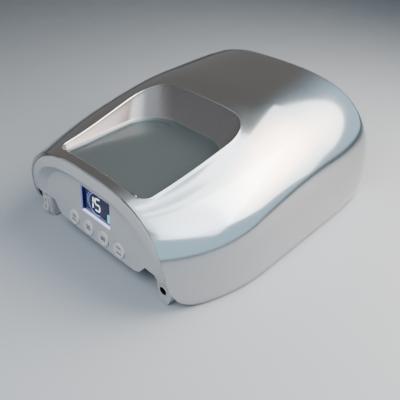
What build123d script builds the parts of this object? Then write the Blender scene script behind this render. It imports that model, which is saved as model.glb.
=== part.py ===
from build123d import *
import os
from math import cos, pi, radians, sin, tan

# Rechargeable nail lamp with a hand tunnel open at the tall end and its controls at the low end.
# Millimetres, +Z up, the table at z = 0, the origin under the middle of the body.
# The control end faces -Y and the hand goes in from +Y.

# Driving sizes of the body
body_length = 227.0        # foot line to the tall end
nose_bulge = 6.0           # how far the control end swells in front of the foot line
half_width_front = 83.0
half_width_full = 107.0
full_width_station = 73.0  # where the body reaches its full width
height_front = 79.5
height_full = 101.5
full_height_station = 147.0
belt_height = 18.0         # below this line the side wall is nearly upright
crown_power = 2.9          # squareness of the arched section
side_tuck = 2.2            # how far the side draws in below the belt
shell_bottom = 1.5
wall = 2.5
fit_gap = 0.3              # between neighbouring mouldings
side_round_station = 163.5 # where the plan starts to round off towards the tall end
side_round_power = 2.57
side_end_share = 0.846
top_round_station = 207.5  # where the roof starts to round off towards the tall end
top_round_power = 2.73
top_end_share = 0.65
corner_reach = 22.0        # station where that edge meets the shell's bottom

# Driving sizes of the top recess
recess_floor = 71.0
recess_front_station = 6.0
recess_back_station = 101.5
recess_half_front = 45.0   # half widths of the floor at its front and back ends
recess_half_back = 48.0
recess_front_radius = 9.0
recess_floor_radius = 30.0 # of the back corners at the floor
recess_back_radius = 23.0  # of the back corners at the roof
recess_lean_front = 0.86   # how far a side wall opens for each millimetre up, at its front end
recess_lean_side = 0.32    # the same at its back end
recess_lean_back = 0.39    # the same for the back wall

# Driving sizes of the control end
leg_face_top = 23.0
chin_height = 29.0
chin_reach = 5.0
leg_inner_top = 66.0
leg_inner_bottom = 68.4
leg_outer = 80.0
leg_depth = 11.0
leg_bottom = 1.2
notch_height = 26.0
notch_outer = 57.0
panel_bottom = 15.5
panel_bottom_half = 46.0
panel_lean = 5.6           # degrees, the top leans away from the user
panel_set = 2.5            # panel face in front of the foot line, at the button row
panel_wall = 3.5
panel_half_width = 68.5
panel_top = 63.0
button_row = 24.4
button_pitch = 18.9
button_count = 4
button_radius = 6.3
button_proud = 1.3
button_gap = 0.3
button_travel = 0.5
window_width = 35.5
window_height = 23.0
window_middle = 48.0
board_wall = 1.6

# Driving sizes of the rocker switch and the supply inlet
switch_x = 73.6
switch_height = 13.6
bezel_width = 11.4
bezel_height = 18.0
bezel_proud = 1.8
housing_width = 9.6
housing_height = 15.6
housing_depth = 13.0
rocker_width = 7.2
rocker_radius = 7.0
rocker_gap = 0.2
rocker_swing = 10.0        # degrees each side of the middle
jack_x = 73.6
jack_height = 13.8
jack_bore = 3.2
jack_ring = 4.6
jack_depth = 9.5

# Driving sizes of the hand tunnel
tunnel_front_station = 58.0
tunnel_half_width = 76.0
tunnel_roof = 58.0
tunnel_corner = 22.0
liner_wall = 2.0
mouth_depth = 6.0
base_level = 3.0
base_wall = 2.5
cover_wall = 2.5
led_radius = 2.5
led_gap = 0.3
led_pad = 1.2
led_rows = 5
led_row_pitch = 32.0
led_column_pitch = 24.0
led_first_station = 76.0

# Driving sizes of the power pack
cell_radius = 9.2
cell_length = 65.0
cell_rows = 3
cell_row_pitch = 20.0
tray_front_station = 118.5
tray_wall = 1.5
screw_radius = 1.1
thread_gap = 0.05

tower_half = 88.0
tower_stations = (66.0, 186.0)
tower_radius = 3.6
screw_head_radius = 2.2
screw_head_height = 1.5

first_station = -2 * nose_bulge - 2
even_steps = 14

# Worked-out places
foot_line = -(body_length - nose_bulge) / 2
rear_face = foot_line + body_length
side_reach = half_width_full + 5
side_view = Plane.YZ.offset(-side_reach)


def at(station):
    """Y of a station measured back from the foot line."""
    return foot_line + station


def rounded_share(station, start, power, end_share):
    """Share of the full size left where the body rounds off towards its tall end."""
    q = min(1.0, max(0.0, (station - start) / (body_length - start)))
    return end_share + (1 - end_share) * (1 - q**power) ** (1 / power)


def half_width(station):
    """Half width of the outside at the belt, a parabola up to full width, then rounded off."""
    full = half_width_full
    if station < full_width_station:
        run = (full_width_station - station) / (full_width_station + nose_bulge)
        return full - (full - half_width_front) * run**2
    return full * rounded_share(station, side_round_station, side_round_power, side_end_share)


def roof_height(station):
    """Height of the outside on the middle line, half a cosine wave, then rounded off."""
    share = min(1.0, max(0.0, station / full_height_station))
    rise = (height_full - height_front) * (1 - cos(pi * share)) / 2
    closing = rounded_share(station, top_round_station, top_round_power, top_end_share)
    return belt_height + (height_front + rise - belt_height) * closing


def crown_points(half, top, steps=12):
    """Points over an arch of the form |x/a|^p + |z/b|^p = 1 that stands on the belt."""
    points = []
    for step in range(steps + 1):
        turn = pi * step / steps
        c, s = cos(turn), sin(turn)
        size = (abs(c) ** crown_power + abs(s) ** crown_power) ** (1 / crown_power)
        points.append((half * c / size, belt_height + (top - belt_height) * s / size))
    points[0], points[-1] = (half, belt_height), (-half, belt_height)
    return points


def crown_slopes(points, half, top):
    """Direction of the same arch at each of its points."""
    slopes = []
    for x, z in points:
        across = (abs(x) / half) ** (crown_power - 1) / half
        up = (max(z - belt_height, 0) / (top - belt_height)) ** (crown_power - 1) / (top - belt_height)
        slopes.append((-up, across if x > 0 else -across))
    return slopes


def body_section(station, inset, bottom):
    """Closed cross-section of the body, drawn in by an inset, on the plane of a station."""
    inner = station if inset == 0 else station * body_length / (body_length - inset)
    half = half_width(min(inner, body_length)) - inset
    top = roof_height(min(inner, body_length)) - inset
    low = belt_height - bottom
    tuck = side_tuck * (low / belt_height) ** 2
    crown = crown_points(half, top)
    with BuildSketch(Plane.XZ.offset(-at(station))) as section:
        with BuildLine():
            Spline(crown, tangents=crown_slopes(crown, half, top))
            ThreePointArc(
                (-half, belt_height), (tuck / 4 - half, belt_height - low / 2), (tuck - half, bottom)
            )
            Line((tuck - half, bottom), (half - tuck, bottom))
            ThreePointArc(
                (half - tuck, bottom), (half - tuck / 4, belt_height - low / 2), (half, belt_height)
            )
        make_face()
    return section.sketch


def body_stations(end):
    """Stations of the lofted sections, close together where the tall end rounds off."""
    reach = top_round_station - first_station
    stations = [first_station + reach * k / even_steps for k in range(even_steps + 1)]
    last = end - top_round_station
    stations += [top_round_station + last * sin(radians(a)) ** 0.73 for a in (24, 46, 68)]
    return stations + [end]


def solid_of_body(inset, bottom):
    """Solid of the body's outline drawn in by an inset, up to its tall end."""
    with BuildPart() as body:
        loft([body_section(s, inset, bottom) for s in body_stations(body_length - inset)])
    return body.part


def cut_across(side_sketch):
    """Slab as wide as the body from a side-view sketch."""
    with BuildPart() as slab:
        extrude(side_sketch, amount=2 * side_reach)
    return slab.part


def in_front_of_rim(with_legs):
    """Side view of all that lies in front of the control end, over its legs or the shell's corner."""
    far = foot_line - 40
    chin = (foot_line - chin_reach, chin_height)
    swell = (foot_line - nose_bulge, chin_height + 14)
    brow = (foot_line - 1.4, height_front)
    above = (foot_line + 1.2, height_front + 12)
    with BuildSketch(side_view) as region:
        with BuildLine():
            ThreePointArc(chin, swell, brow)
            if with_legs:
                knee = (foot_line, leg_face_top)
                half_rise = (chin_height - leg_face_top) / 2
                Bezier(knee, (knee[0], knee[1] + half_rise), (chin[0] + 0.5, chin[1] - half_rise), chin)
                Polyline(knee, (knee[0], -9), (far, -9), (far, above[1]), above, brow)
            else:
                toe = (at(corner_reach), shell_bottom - 0.01)
                Bezier(toe, (toe[0] - 16, toe[1]), (chin[0] + 1, toe[1] + 12), chin)
                Polyline(toe, (toe[0], -9), (far, -9), (far, above[1]), above, brow)
        make_face()
    return region.sketch


def recess_outline(height, spread):
    """Plan of the top recess at a height, its walls closing towards the floor."""
    rise = height - recess_floor
    share = rise / (height_full - recess_floor)
    half_front = recess_half_front + recess_lean_front * rise + spread
    half_back = recess_half_back + recess_lean_side * rise + spread
    front = at(recess_front_station) - spread
    back = at(recess_back_station) + recess_lean_back * rise + spread
    with BuildSketch(Plane.XY.offset(height)) as outline:
        with BuildLine():
            Polyline(
                (-half_front, front), (half_front, front), (half_back, back), (-half_back, back), close=True
            )
        make_face()
        fillet(outline.vertices().group_by(Axis.Y)[0], recess_front_radius + spread)
        back_radius = recess_floor_radius + (recess_back_radius - recess_floor_radius) * share
        fillet(outline.vertices().group_by(Axis.Y)[-1], back_radius + spread)
    return outline.sketch


def tunnel_outline(station, spread, low):
    """Cross-section of the hand tunnel, an upright arch with round shoulders, grown by a spread."""
    half = tunnel_half_width + spread
    with BuildSketch(Plane.XZ.offset(-at(station))) as outline:
        with BuildLine():
            Polyline(
                (-half, low), (half, low), (half, tunnel_roof + spread), (-half, tunnel_roof + spread),
                close=True,
            )
        make_face()
        fillet(outline.vertices().group_by(Axis.Y)[-1], tunnel_corner + spread)
    return outline.sketch


def panel_at(out):
    """Plane along the leaning control panel, a distance out from its face, centred on the buttons."""
    return panel_plane.offset(out)


def panel_arch(out, half, top):
    """Arch on a plane along the panel, open far below it."""
    crown = crown_points(half, top)
    points = [(x, z - button_row) for x, z in crown]
    low = -2 * button_row
    with BuildSketch(panel_at(out)) as arch:
        with BuildLine():
            Spline(points, tangents=crown_slopes(crown, half, top))
            Polyline(points[-1], (-half, low), (half, low), points[0])
        make_face()
    return arch.sketch


def front_view(points, station=-20.0):
    """Face in the front view from a closed run of points."""
    with BuildSketch(Plane.XZ.offset(-at(station))) as face:
        with BuildLine():
            Polyline(*points, close=True)
        make_face()
    return face.sketch


def mirrored(points):
    """A right-hand run of points and its mirror image on the left, as one closed run."""
    return points + [(-x, z) for x, z in reversed(points)]


def screws(places, plane, grip, bite):
    """Pan-head screws whose heads lie on the plane's front and whose shanks run behind it."""
    with BuildPart() as group:
        with BuildSketch(plane):
            with Locations(*places):
                Circle(screw_head_radius)
        extrude(amount=screw_head_height)
        with BuildSketch(plane):
            with Locations(*places):
                Circle(screw_radius)
        extrude(amount=-(grip + bite))
        with BuildSketch(plane.offset(screw_head_height)):
            with Locations(*places):
                Rectangle(screw_head_radius * 1.2, 0.5)
                Rectangle(0.5, screw_head_radius * 1.2)
        extrude(amount=-0.7, mode=Mode.SUBTRACT)
    return group


def keep(piece, name):
    """Label a finished piece and write its file."""
    piece.part.label = name
    export_step(piece.part, f"parts/{name}.step")


os.makedirs("parts", exist_ok=True)
panel_plane = Plane(
    origin=(0, foot_line - panel_set, button_row),
    x_dir=(1, 0, 0),
    z_dir=(0, -cos(radians(panel_lean)), sin(radians(panel_lean))),
)
panel_axis = Axis(panel_plane.origin, panel_plane.z_dir)
pilot = screw_radius + thread_gap
clear_hole = screw_radius + 0.4
base_top = base_level + base_wall

# Outer shell: one moulding with the top recess in it, open at both ends and below
tower_places = [(x, at(y)) for x in (-tower_half, tower_half) for y in tower_stations]
tub_top = height_full + 6
body_solid = solid_of_body(0, shell_bottom)
hollow_solid = solid_of_body(wall, shell_bottom - 3)

with BuildPart() as shell_core:
    loft([recess_outline(recess_floor - wall, wall), recess_outline(tub_top, wall)])
    with BuildSketch(Plane.XY.offset(base_top)):
        with Locations(*tower_places):
            Circle(tower_radius)
    extrude(amount=height_full - base_top)
    add(body_solid, mode=Mode.INTERSECT)

with BuildPart() as outer_shell:
    add(body_solid)
    add(cut_across(in_front_of_rim(False)), mode=Mode.SUBTRACT)
    add(hollow_solid, mode=Mode.SUBTRACT)
    extrude(
        body_section(body_length - wall, wall, shell_bottom - 3), amount=-2 * wall, mode=Mode.SUBTRACT
    )
    add(shell_core.part)
    loft([recess_outline(recess_floor, 0), recess_outline(tub_top, 0)], mode=Mode.SUBTRACT)
    with BuildSketch(Plane.XY.offset(base_top)):
        with Locations(*tower_places):
            Circle(pilot)
    extrude(amount=12, mode=Mode.SUBTRACT)
keep(outer_shell, "outer_shell")

# Control end: swelling rim, set-back panel and two legs, moulded in one
skin = wall + fit_gap
under_panel = mirrored(
    [
        (leg_inner_bottom, -5),
        (leg_inner_bottom, leg_bottom),
        (leg_inner_top, notch_height),
        (notch_outer, notch_height),
        (panel_bottom_half + 5, panel_bottom + 3),
        (panel_bottom_half, panel_bottom + 0.8),
        (panel_bottom_half / 2, panel_bottom),
    ]
)
leg_foot = leg_outer - 3.5
beside_leg = [
    (leg_foot, -5),
    (leg_foot, 0),
    (leg_outer, 9),
    (leg_outer + 1.8, 20),
    (leg_outer + 4.5, 33),
    (side_reach, 33),
    (side_reach, -5),
]
room_half = recess_half_front + wall + 9.0
room_low = recess_floor - wall - fit_gap
sky = height_full + 20
recess_room = front_view(
    mirrored([(room_half, room_low), (room_half, sky)]), recess_front_station - wall - fit_gap
)
hollow_half = notch_outer - 3.0
hollow_step = notch_height + panel_wall
hollow_region = mirrored(
    [(hollow_half, panel_bottom - 6), (hollow_half, hollow_step), (side_reach, hollow_step), (side_reach, sky)]
)
boss_places = [(x, y) for x in (-41, 41) for y in (3, 34)]
button_places = [((k - (button_count - 1) / 2) * button_pitch, 0) for k in range(button_count)]
window_low = window_middle - button_row
lens_wall = 0.8
screen_skin = 2.6          # plate left in front of the display's pocket
screen_width = 44.0
screen_height = 29.0
screen_wall = 4.0
board_out = -(panel_wall + 7.0)
boss_radius = 3.0

with BuildPart() as end_hollow:
    loft([body_section(s, skin + 2.8, -20) for s in (first_station, 0, leg_depth + 1)])
    extrude(front_view(hollow_region), amount=-60, mode=Mode.INTERSECT)
    with BuildSketch(panel_at(-panel_wall)):
        Rectangle(2 * side_reach, 2 * side_reach)
    extrude(amount=-60, mode=Mode.INTERSECT)

with BuildPart() as front_panel:
    loft([body_section(s, skin, leg_bottom) for s in (first_station, 0, leg_depth)])
    add(cut_across(in_front_of_rim(True)), mode=Mode.SUBTRACT)
    add(end_hollow.part, mode=Mode.SUBTRACT)
    loft(
        [panel_arch(0, panel_half_width, panel_top), panel_arch(8, panel_half_width + 8, panel_top + 8)],
        mode=Mode.SUBTRACT,
    )
    with BuildSketch(panel_at(0)):
        with Locations((0, chin_height / 2 + 10 - button_row)):
            Rectangle(2 * leg_inner_top, chin_height + 4)
    extrude(amount=-panel_wall)
    extrude(recess_room, amount=-40, mode=Mode.SUBTRACT)
    extrude(front_view(under_panel), amount=-60, mode=Mode.SUBTRACT)
    extrude(front_view(beside_leg), amount=-60, mode=Mode.SUBTRACT)
    extrude(front_view([(-x, z) for x, z in beside_leg]), amount=-60, mode=Mode.SUBTRACT)
    with BuildSketch(panel_at(-panel_wall + 0.5)):
        with Locations(*boss_places):
            Circle(boss_radius)
    extrude(amount=board_out + panel_wall - 0.5)
    with BuildSketch(panel_at(board_out)):
        with Locations(*boss_places):
            Circle(pilot)
    extrude(amount=6.5, mode=Mode.SUBTRACT)
    with BuildSketch(panel_at(2)):
        with Locations(*button_places):
            Circle(button_radius + button_gap)
        with Locations((0, window_low)):
            Rectangle(window_width, window_height)
    extrude(amount=-8, mode=Mode.SUBTRACT)
    with BuildSketch(panel_at(-screen_skin)):
        with Locations((0, window_low)):
            Rectangle(screen_width + 2 * fit_gap, screen_height + 2 * fit_gap)
    extrude(amount=-9, mode=Mode.SUBTRACT)
    with BuildSketch(Plane.XZ.offset(-at(-5))):
        with Locations((-switch_x, switch_height)):
            Rectangle(housing_width + fit_gap, housing_height + fit_gap)
        with Locations((jack_x, jack_height)):
            Circle(jack_bore + 1.0)
    extrude(amount=-30, mode=Mode.SUBTRACT)
keep(front_panel, "front_panel")

# Display: clear lens in the pocket, module behind it, its pins reaching the board
with BuildPart() as display_lens:
    with BuildSketch(panel_at(-screen_skin)):
        with Locations((0, window_low)):
            Rectangle(screen_width, screen_height)
    extrude(amount=-lens_wall)
keep(display_lens, "display_lens")

with BuildPart() as lcd_module:
    with BuildSketch(panel_at(-screen_skin - lens_wall)):
        with Locations((0, window_low)):
            Rectangle(screen_width, screen_height)
    extrude(amount=-screen_wall)
    fillet(lcd_module.edges().filter_by(panel_axis), 0.8)
    with BuildSketch(panel_at(-screen_skin - lens_wall - screen_wall)):
        with Locations((0, window_low - screen_height / 2 + 2), (0, window_low + screen_height / 2 - 2)):
            Rectangle(screen_width - 8, 1.2)
    extrude(amount=board_out + screen_skin + lens_wall + screen_wall)
keep(lcd_module, "lcd_module")

# Four timer buttons with the switches they press
flange_radius = button_radius + 1.1
flange_wall = 0.8
stem_radius = 2.5
tact_size = 6.0
tact_height = 3.4
plunger_radius = 1.7
plunger_sink = 0.8
plunger_gap = 0.2
stem_out = board_out + tact_height + 0.9
for index, place in enumerate(button_places):
    with BuildPart() as button:
        with BuildSketch(panel_at(button_proud)):
            with Locations(place):
                Circle(button_radius)
        extrude(amount=-(button_proud + panel_wall + fit_gap))
        chamfer(button.edges().group_by(panel_axis)[-1], 0.35)
        with BuildSketch(panel_at(button_proud)):
            with Locations(place):
                Circle(button_radius - 1.2)
        extrude(amount=-0.4, mode=Mode.SUBTRACT)
        with BuildSketch(panel_at(-panel_wall - fit_gap)):
            with Locations(place):
                Circle(flange_radius)
        extrude(amount=-flange_wall)
        with BuildSketch(panel_at(-panel_wall - fit_gap)):
            with Locations(place):
                Circle(stem_radius)
        extrude(amount=stem_out + panel_wall + fit_gap)
    keep(button, f"button_{index + 1}")
    with BuildPart() as plunger:
        with BuildSketch(panel_at(stem_out)):
            with Locations(place):
                Circle(plunger_radius)
        extrude(amount=-(stem_out - board_out - tact_height + plunger_sink))
    keep(plunger, f"tact_plunger_{index + 1}")

with BuildPart() as tact_switches:
    with BuildSketch(panel_at(board_out)):
        with Locations(*button_places):
            Rectangle(tact_size, tact_size)
    extrude(amount=tact_height)
    with BuildSketch(panel_at(board_out + tact_height)):
        with Locations(*button_places):
            Circle(plunger_radius + plunger_gap)
    extrude(amount=-(plunger_sink + button_travel + 0.3), mode=Mode.SUBTRACT)
keep(tact_switches, "tact_switches")

control_low = -4.5
control_high = 38.0
control_half = 46.0
chip_size = 9.0
chip_wall = 2.2
ribbon_width = 14.0
ribbon_wall = 0.6
ribbon_socket = 5.0
ribbon_height = 34.0
with BuildPart() as control_board:
    with BuildSketch(panel_at(board_out)):
        with Locations((0, (control_low + control_high) / 2)):
            Rectangle(2 * control_half, control_high - control_low)
        with Locations(*boss_places):
            Circle(clear_hole, mode=Mode.SUBTRACT)
    extrude(amount=-board_wall)
    with BuildSketch(panel_at(board_out - board_wall)):
        with Locations((-20, 16)):
            Rectangle(chip_size, chip_size)
        with Locations((0, ribbon_height - button_row)):
            Rectangle(ribbon_width + 2, ribbon_socket)
    extrude(amount=-chip_wall)
keep(control_board, "control_board")

board_back = Plane(
    origin=panel_at(board_out - board_wall).origin, x_dir=(-1, 0, 0), z_dir=-panel_plane.z_dir
)
panel_screws = screws([(-x, y) for x, y in boss_places], board_back, board_wall, 5.5)
keep(panel_screws, "panel_screws")

# Rocker switch in the left leg: housing with its bezel, rocker on two stub pins, terminals
rocker_half = rocker_width / 2
pocket_half = rocker_half + rocker_gap
pivot_y = foot_line + 0.2
pivot_axis = Axis((0, pivot_y, switch_height), (1, 0, 0))
stub_radius = 0.8
stub_length = 0.6
pocket_radius = rocker_radius + 0.3
pivot_place = (pivot_y, switch_height)

with BuildPart() as switch_housing:
    with BuildSketch(Plane.XZ.offset(-foot_line)):
        with Locations((-switch_x, switch_height)):
            RectangleRounded(bezel_width, bezel_height, 1.0)
    extrude(amount=bezel_proud)
    chamfer(switch_housing.edges().group_by(Axis.Y)[0], 0.5)
    with BuildSketch(Plane.XZ.offset(-foot_line)):
        with Locations((-switch_x, switch_height)):
            Rectangle(housing_width, housing_height)
    extrude(amount=-housing_depth)
    with BuildSketch(Plane.YZ.offset(-switch_x - pocket_half)):
        with Locations(pivot_place):
            Circle(pocket_radius)
    extrude(amount=2 * pocket_half, mode=Mode.SUBTRACT)
    with BuildSketch(Plane.YZ.offset(-switch_x - pocket_half - stub_length - 0.1)):
        with Locations(pivot_place):
            Circle(stub_radius + thread_gap)
    extrude(amount=2 * (pocket_half + stub_length + 0.1), mode=Mode.SUBTRACT)
keep(switch_housing, "switch_housing")

rocker_face = 3.0
rocker_back = 3.6
with BuildPart() as switch_rocker:
    with BuildSketch(Plane.YZ.offset(-switch_x - rocker_half)):
        with Locations(pivot_place):
            Circle(rocker_radius)
    extrude(amount=rocker_width)
    with BuildSketch(Plane.YZ.offset(-switch_x - rocker_half)):
        with BuildLine():
            dip = (pivot_y - rocker_face, switch_height)
            lift = (rocker_radius + 2) * tan(radians(rocker_swing))
            top = (dip[0] - lift, switch_height + rocker_radius + 2)
            low = (dip[0] - lift, switch_height - rocker_radius - 2)
            Polyline(dip, top, (dip[0] - 20, top[1]), (dip[0] - 20, low[1]), low, close=True)
        make_face()
    extrude(amount=rocker_width, mode=Mode.SUBTRACT)
    with BuildSketch(Plane.XZ.offset(-pivot_y - rocker_back)):
        with Locations((-switch_x, switch_height)):
            Rectangle(20, 40)
    extrude(amount=-20, mode=Mode.SUBTRACT)
    with BuildSketch(Plane.YZ.offset(-switch_x - rocker_half - stub_length)):
        with Locations(pivot_place):
            Circle(stub_radius)
    extrude(amount=rocker_width + 2 * stub_length)
switch_rocker.part = switch_rocker.part.rotate(pivot_axis, -rocker_swing)
keep(switch_rocker, "switch_rocker")

terminal_gap = 4.0
terminal_length = 6.5
with BuildPart() as switch_terminals:
    with BuildSketch(Plane.XZ.offset(-foot_line - housing_depth)):
        with Locations((-switch_x, switch_height - terminal_gap), (-switch_x, switch_height + terminal_gap)):
            Rectangle(4.8, 0.8)
    extrude(amount=-terminal_length)
keep(switch_terminals, "switch_terminals")

# Supply inlet in the right leg: barrel with a ring on the leg's face, and its centre pin
jack_wall = 1.0
jack_body = leg_depth + 2.0
jack_tab = 3.5
pin_radius = 1.0
with BuildPart() as dc_jack:
    with BuildSketch(Plane.XZ.offset(-foot_line)):
        with Locations((jack_x, jack_height)):
            Circle(jack_ring)
    extrude(amount=0.8)
    fillet(dc_jack.edges().group_by(Axis.Y)[0], 0.5)
    with BuildSketch(Plane.XZ.offset(-foot_line)):
        with Locations((jack_x, jack_height)):
            Circle(jack_bore + jack_wall - 0.1)
    extrude(amount=-jack_body)
    with BuildSketch(Plane.XZ.offset(-foot_line + 5)):
        with Locations((jack_x, jack_height)):
            Circle(jack_bore)
    extrude(amount=-(jack_depth + 5), mode=Mode.SUBTRACT)
    with BuildSketch(Plane.XZ.offset(-foot_line - jack_body)):
        with Locations((jack_x - 2, jack_height), (jack_x + 2, jack_height)):
            Rectangle(0.6, 2.4)
    extrude(amount=-jack_tab)
keep(dc_jack, "dc_jack")

with BuildPart() as jack_pin:
    with BuildSketch(Plane.XZ.offset(-foot_line - 1.5)):
        with Locations((jack_x, jack_height)):
            Circle(pin_radius)
    extrude(amount=-(jack_depth - 1.5))
    fillet(jack_pin.edges().group_by(Axis.Y)[0], 0.6)
keep(jack_pin, "jack_pin")

# Reflector: the bright lining of the hand tunnel in four panels, with a hole for every bead
liner_front = tunnel_front_station - liner_wall
liner_end = body_length - mouth_depth - fit_gap
liner_top = tunnel_roof + liner_wall
liner_side = tunnel_half_width + liner_wall
pad_radius = 3.5
post_half = 50.0
ear_reach = 4.0
ear_radius = 4.0
tray_level = liner_top + 6.5
bead_rows = [led_first_station + k * led_row_pitch for k in range(led_rows)]
pad_margin = 7.0           # from the outermost bead rows to the outermost pads
row_middle = (bead_rows[0] + bead_rows[-1]) / 2
pad_stations = (bead_rows[0] - pad_margin, row_middle, bead_rows[-1] + pad_margin)
roof_pad_x = 1.75 * led_column_pitch
side_bead_low = 15.0
side_bead_high = 28.0
roof_beads = [(x * led_column_pitch, at(s)) for x in (-1.5, -0.5, 0.5, 1.5) for s in bead_rows]
side_beads = [(at(s), z) for s in bead_rows for z in (side_bead_low, side_bead_high)]
roof_pads = [(x, at(s)) for x in (-roof_pad_x, roof_pad_x) for s in pad_stations]
side_pads = [(at(s), (side_bead_low + side_bead_high) / 2) for s in pad_stations]
tray_length = (cell_rows - 1) * cell_row_pitch + 2 * cell_radius + 2 * (tray_wall + 0.6)
tray_end_station = tray_front_station + tray_length
post_stations = (tray_front_station - ear_reach, tray_end_station + ear_reach)
post_places = [(x, at(s)) for x in (-post_half, post_half) for s in post_stations]
cover_places = [(x, at(s)) for x in (-71.0, 71.0) for s in (28.0, 50.0)]
sensor_places = [(x, at(213.0)) for x in (-14.0, 14.0)]
sensor_radius = 1.5

with BuildPart() as lining:
    extrude(
        tunnel_outline(tunnel_front_station, liner_wall, base_top), amount=-(liner_end - tunnel_front_station)
    )
    extrude(tunnel_outline(liner_front, 0, base_top - 1), amount=-body_length, mode=Mode.SUBTRACT)
    with BuildSketch(Plane.XY.offset(base_top)):
        for x in (-liner_side - 2.5, liner_side + 2.5):
            with Locations((x, at((tunnel_front_station + liner_end) / 2))):
                Rectangle(5.4, liner_end - tunnel_front_station)
    extrude(amount=1.5)
    with BuildSketch(Plane.XY.offset(liner_top - 0.5)):
        with Locations(*roof_pads):
            Circle(pad_radius)
    extrude(amount=led_pad + 0.5)
    with BuildSketch(Plane.XY.offset(liner_top - 0.5)):
        with Locations(*post_places):
            Circle(pad_radius)
    extrude(amount=tray_level - liner_top + 0.5)
    for side in (-1, 1):
        with BuildSketch(Plane.YZ.offset(side * (liner_side - 0.5))):
            with Locations(*side_pads):
                Circle(pad_radius)
        extrude(amount=side * (led_pad + 0.5))
    with BuildSketch(Plane.XY.offset(tunnel_roof - 2)):
        with Locations(*roof_beads):
            Circle(led_radius + led_gap)
        with Locations(*sensor_places):
            Circle(sensor_radius + led_gap)
    extrude(amount=8, mode=Mode.SUBTRACT)
    with BuildSketch(Plane.YZ.offset(-100)):
        with Locations(*side_beads):
            Circle(led_radius + led_gap)
    extrude(amount=200, mode=Mode.SUBTRACT)
    with BuildSketch(Plane.XY.offset(liner_top + led_pad)):
        with Locations(*roof_pads):
            Circle(pilot)
    extrude(amount=-2.8, mode=Mode.SUBTRACT)
    with BuildSketch(Plane.XY.offset(tray_level)):
        with Locations(*post_places):
            Circle(pilot)
    extrude(amount=-6, mode=Mode.SUBTRACT)
    for side in (-1, 1):
        with BuildSketch(Plane.YZ.offset(side * (liner_side + led_pad))):
            with Locations(*side_pads):
                Circle(pilot)
        extrude(amount=-side * 2.8, mode=Mode.SUBTRACT)

with BuildPart() as reflector_end:
    extrude(tunnel_outline(liner_front, liner_wall, base_top), amount=-liner_wall)
keep(reflector_end, "reflector_end")

shoulder = tunnel_half_width - tunnel_corner
for word, low, high in (
    ("left", -side_reach, -shoulder), ("roof", -shoulder, shoulder), ("right", shoulder, side_reach)
):
    with BuildPart() as reflector:
        add(lining.part)
        with BuildSketch(Plane.YZ.offset(low)):
            Rectangle(2 * body_length, 2 * body_length)
        extrude(amount=high - low, mode=Mode.INTERSECT)
    keep(reflector, f"reflector_{word}")

# Lamp boards behind the lining and their beads, which look in through its holes
roof_board_level = liner_top + led_pad
side_board_level = liner_side + led_pad
bead_reach = led_pad + liner_wall + 0.8
bead_base = 5.2
bead_base_wall = 0.8
board_margin = 6.5         # board left round the outermost beads or screws
roof_board_half = roof_pad_x + 4
roof_board_front = pad_stations[0] - 5
roof_board_end = pad_stations[-1] + 5
side_board_height = side_bead_high - side_bead_low + 2 * board_margin - 1
with BuildPart() as led_board_roof:
    with BuildSketch(Plane.XY.offset(roof_board_level)):
        with Locations((0, at((roof_board_front + roof_board_end) / 2))):
            Rectangle(2 * roof_board_half, roof_board_end - roof_board_front)
        with Locations(*roof_pads):
            Circle(clear_hole, mode=Mode.SUBTRACT)
    extrude(amount=board_wall)
keep(led_board_roof, "led_board_roof")

with BuildPart() as led_beads_roof:
    with BuildSketch(Plane.XY.offset(roof_board_level)):
        with Locations(*roof_beads):
            Rectangle(bead_base, bead_base)
    extrude(amount=-bead_base_wall)
    with BuildSketch(Plane.XY.offset(roof_board_level)):
        with Locations(*roof_beads):
            Circle(led_radius)
    extrude(amount=-bead_reach)
    fillet(led_beads_roof.edges().group_by(Axis.Z)[0], 1.4)
keep(led_beads_roof, "led_beads_roof")

for side, word in ((-1, "left"), (1, "right")):
    board_plane = Plane.YZ.offset(side * side_board_level)
    with BuildPart() as side_board:
        with BuildSketch(board_plane):
            with Locations((at((roof_board_front + roof_board_end) / 2), (side_bead_low + side_bead_high) / 2)):
                Rectangle(roof_board_end - roof_board_front, side_board_height)
            with Locations(*side_pads):
                Circle(clear_hole, mode=Mode.SUBTRACT)
        extrude(amount=side * board_wall)
    keep(side_board, f"led_board_{word}")
    with BuildPart() as side_bead_group:
        with BuildSketch(board_plane):
            with Locations(*side_beads):
                Rectangle(bead_base, bead_base)
        extrude(amount=-side * bead_base_wall)
        with BuildSketch(board_plane):
            with Locations(*side_beads):
                Circle(led_radius)
        extrude(amount=-side * bead_reach)
        fillet(side_bead_group.edges().group_by(Axis.X)[0 if side > 0 else -1], 1.4)
    keep(side_bead_group, f"led_beads_{word}")

# Hand sensors: one sends and one receives, through the lining's roof just inside the mouth
with BuildPart() as hand_sensors:
    with BuildSketch(Plane.XY.offset(roof_board_level)):
        with Locations(*sensor_places):
            Circle(sensor_radius)
    extrude(amount=-bead_reach)
    fillet(hand_sensors.edges().group_by(Axis.Z)[0], 1.2)
keep(hand_sensors, "hand_sensors")

# Mouth frame: the pale arch round the hand opening, let into the shell's tall end
with BuildPart() as mouth_frame:
    extrude(body_section(body_length - skin, skin, shell_bottom), amount=-skin)
    extrude(body_section(body_length - skin, skin, shell_bottom), amount=mouth_depth - skin)
    extrude(tunnel_outline(liner_end, 0, -5), amount=-2 * mouth_depth, mode=Mode.SUBTRACT)
keep(mouth_frame, "mouth_frame")

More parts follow.
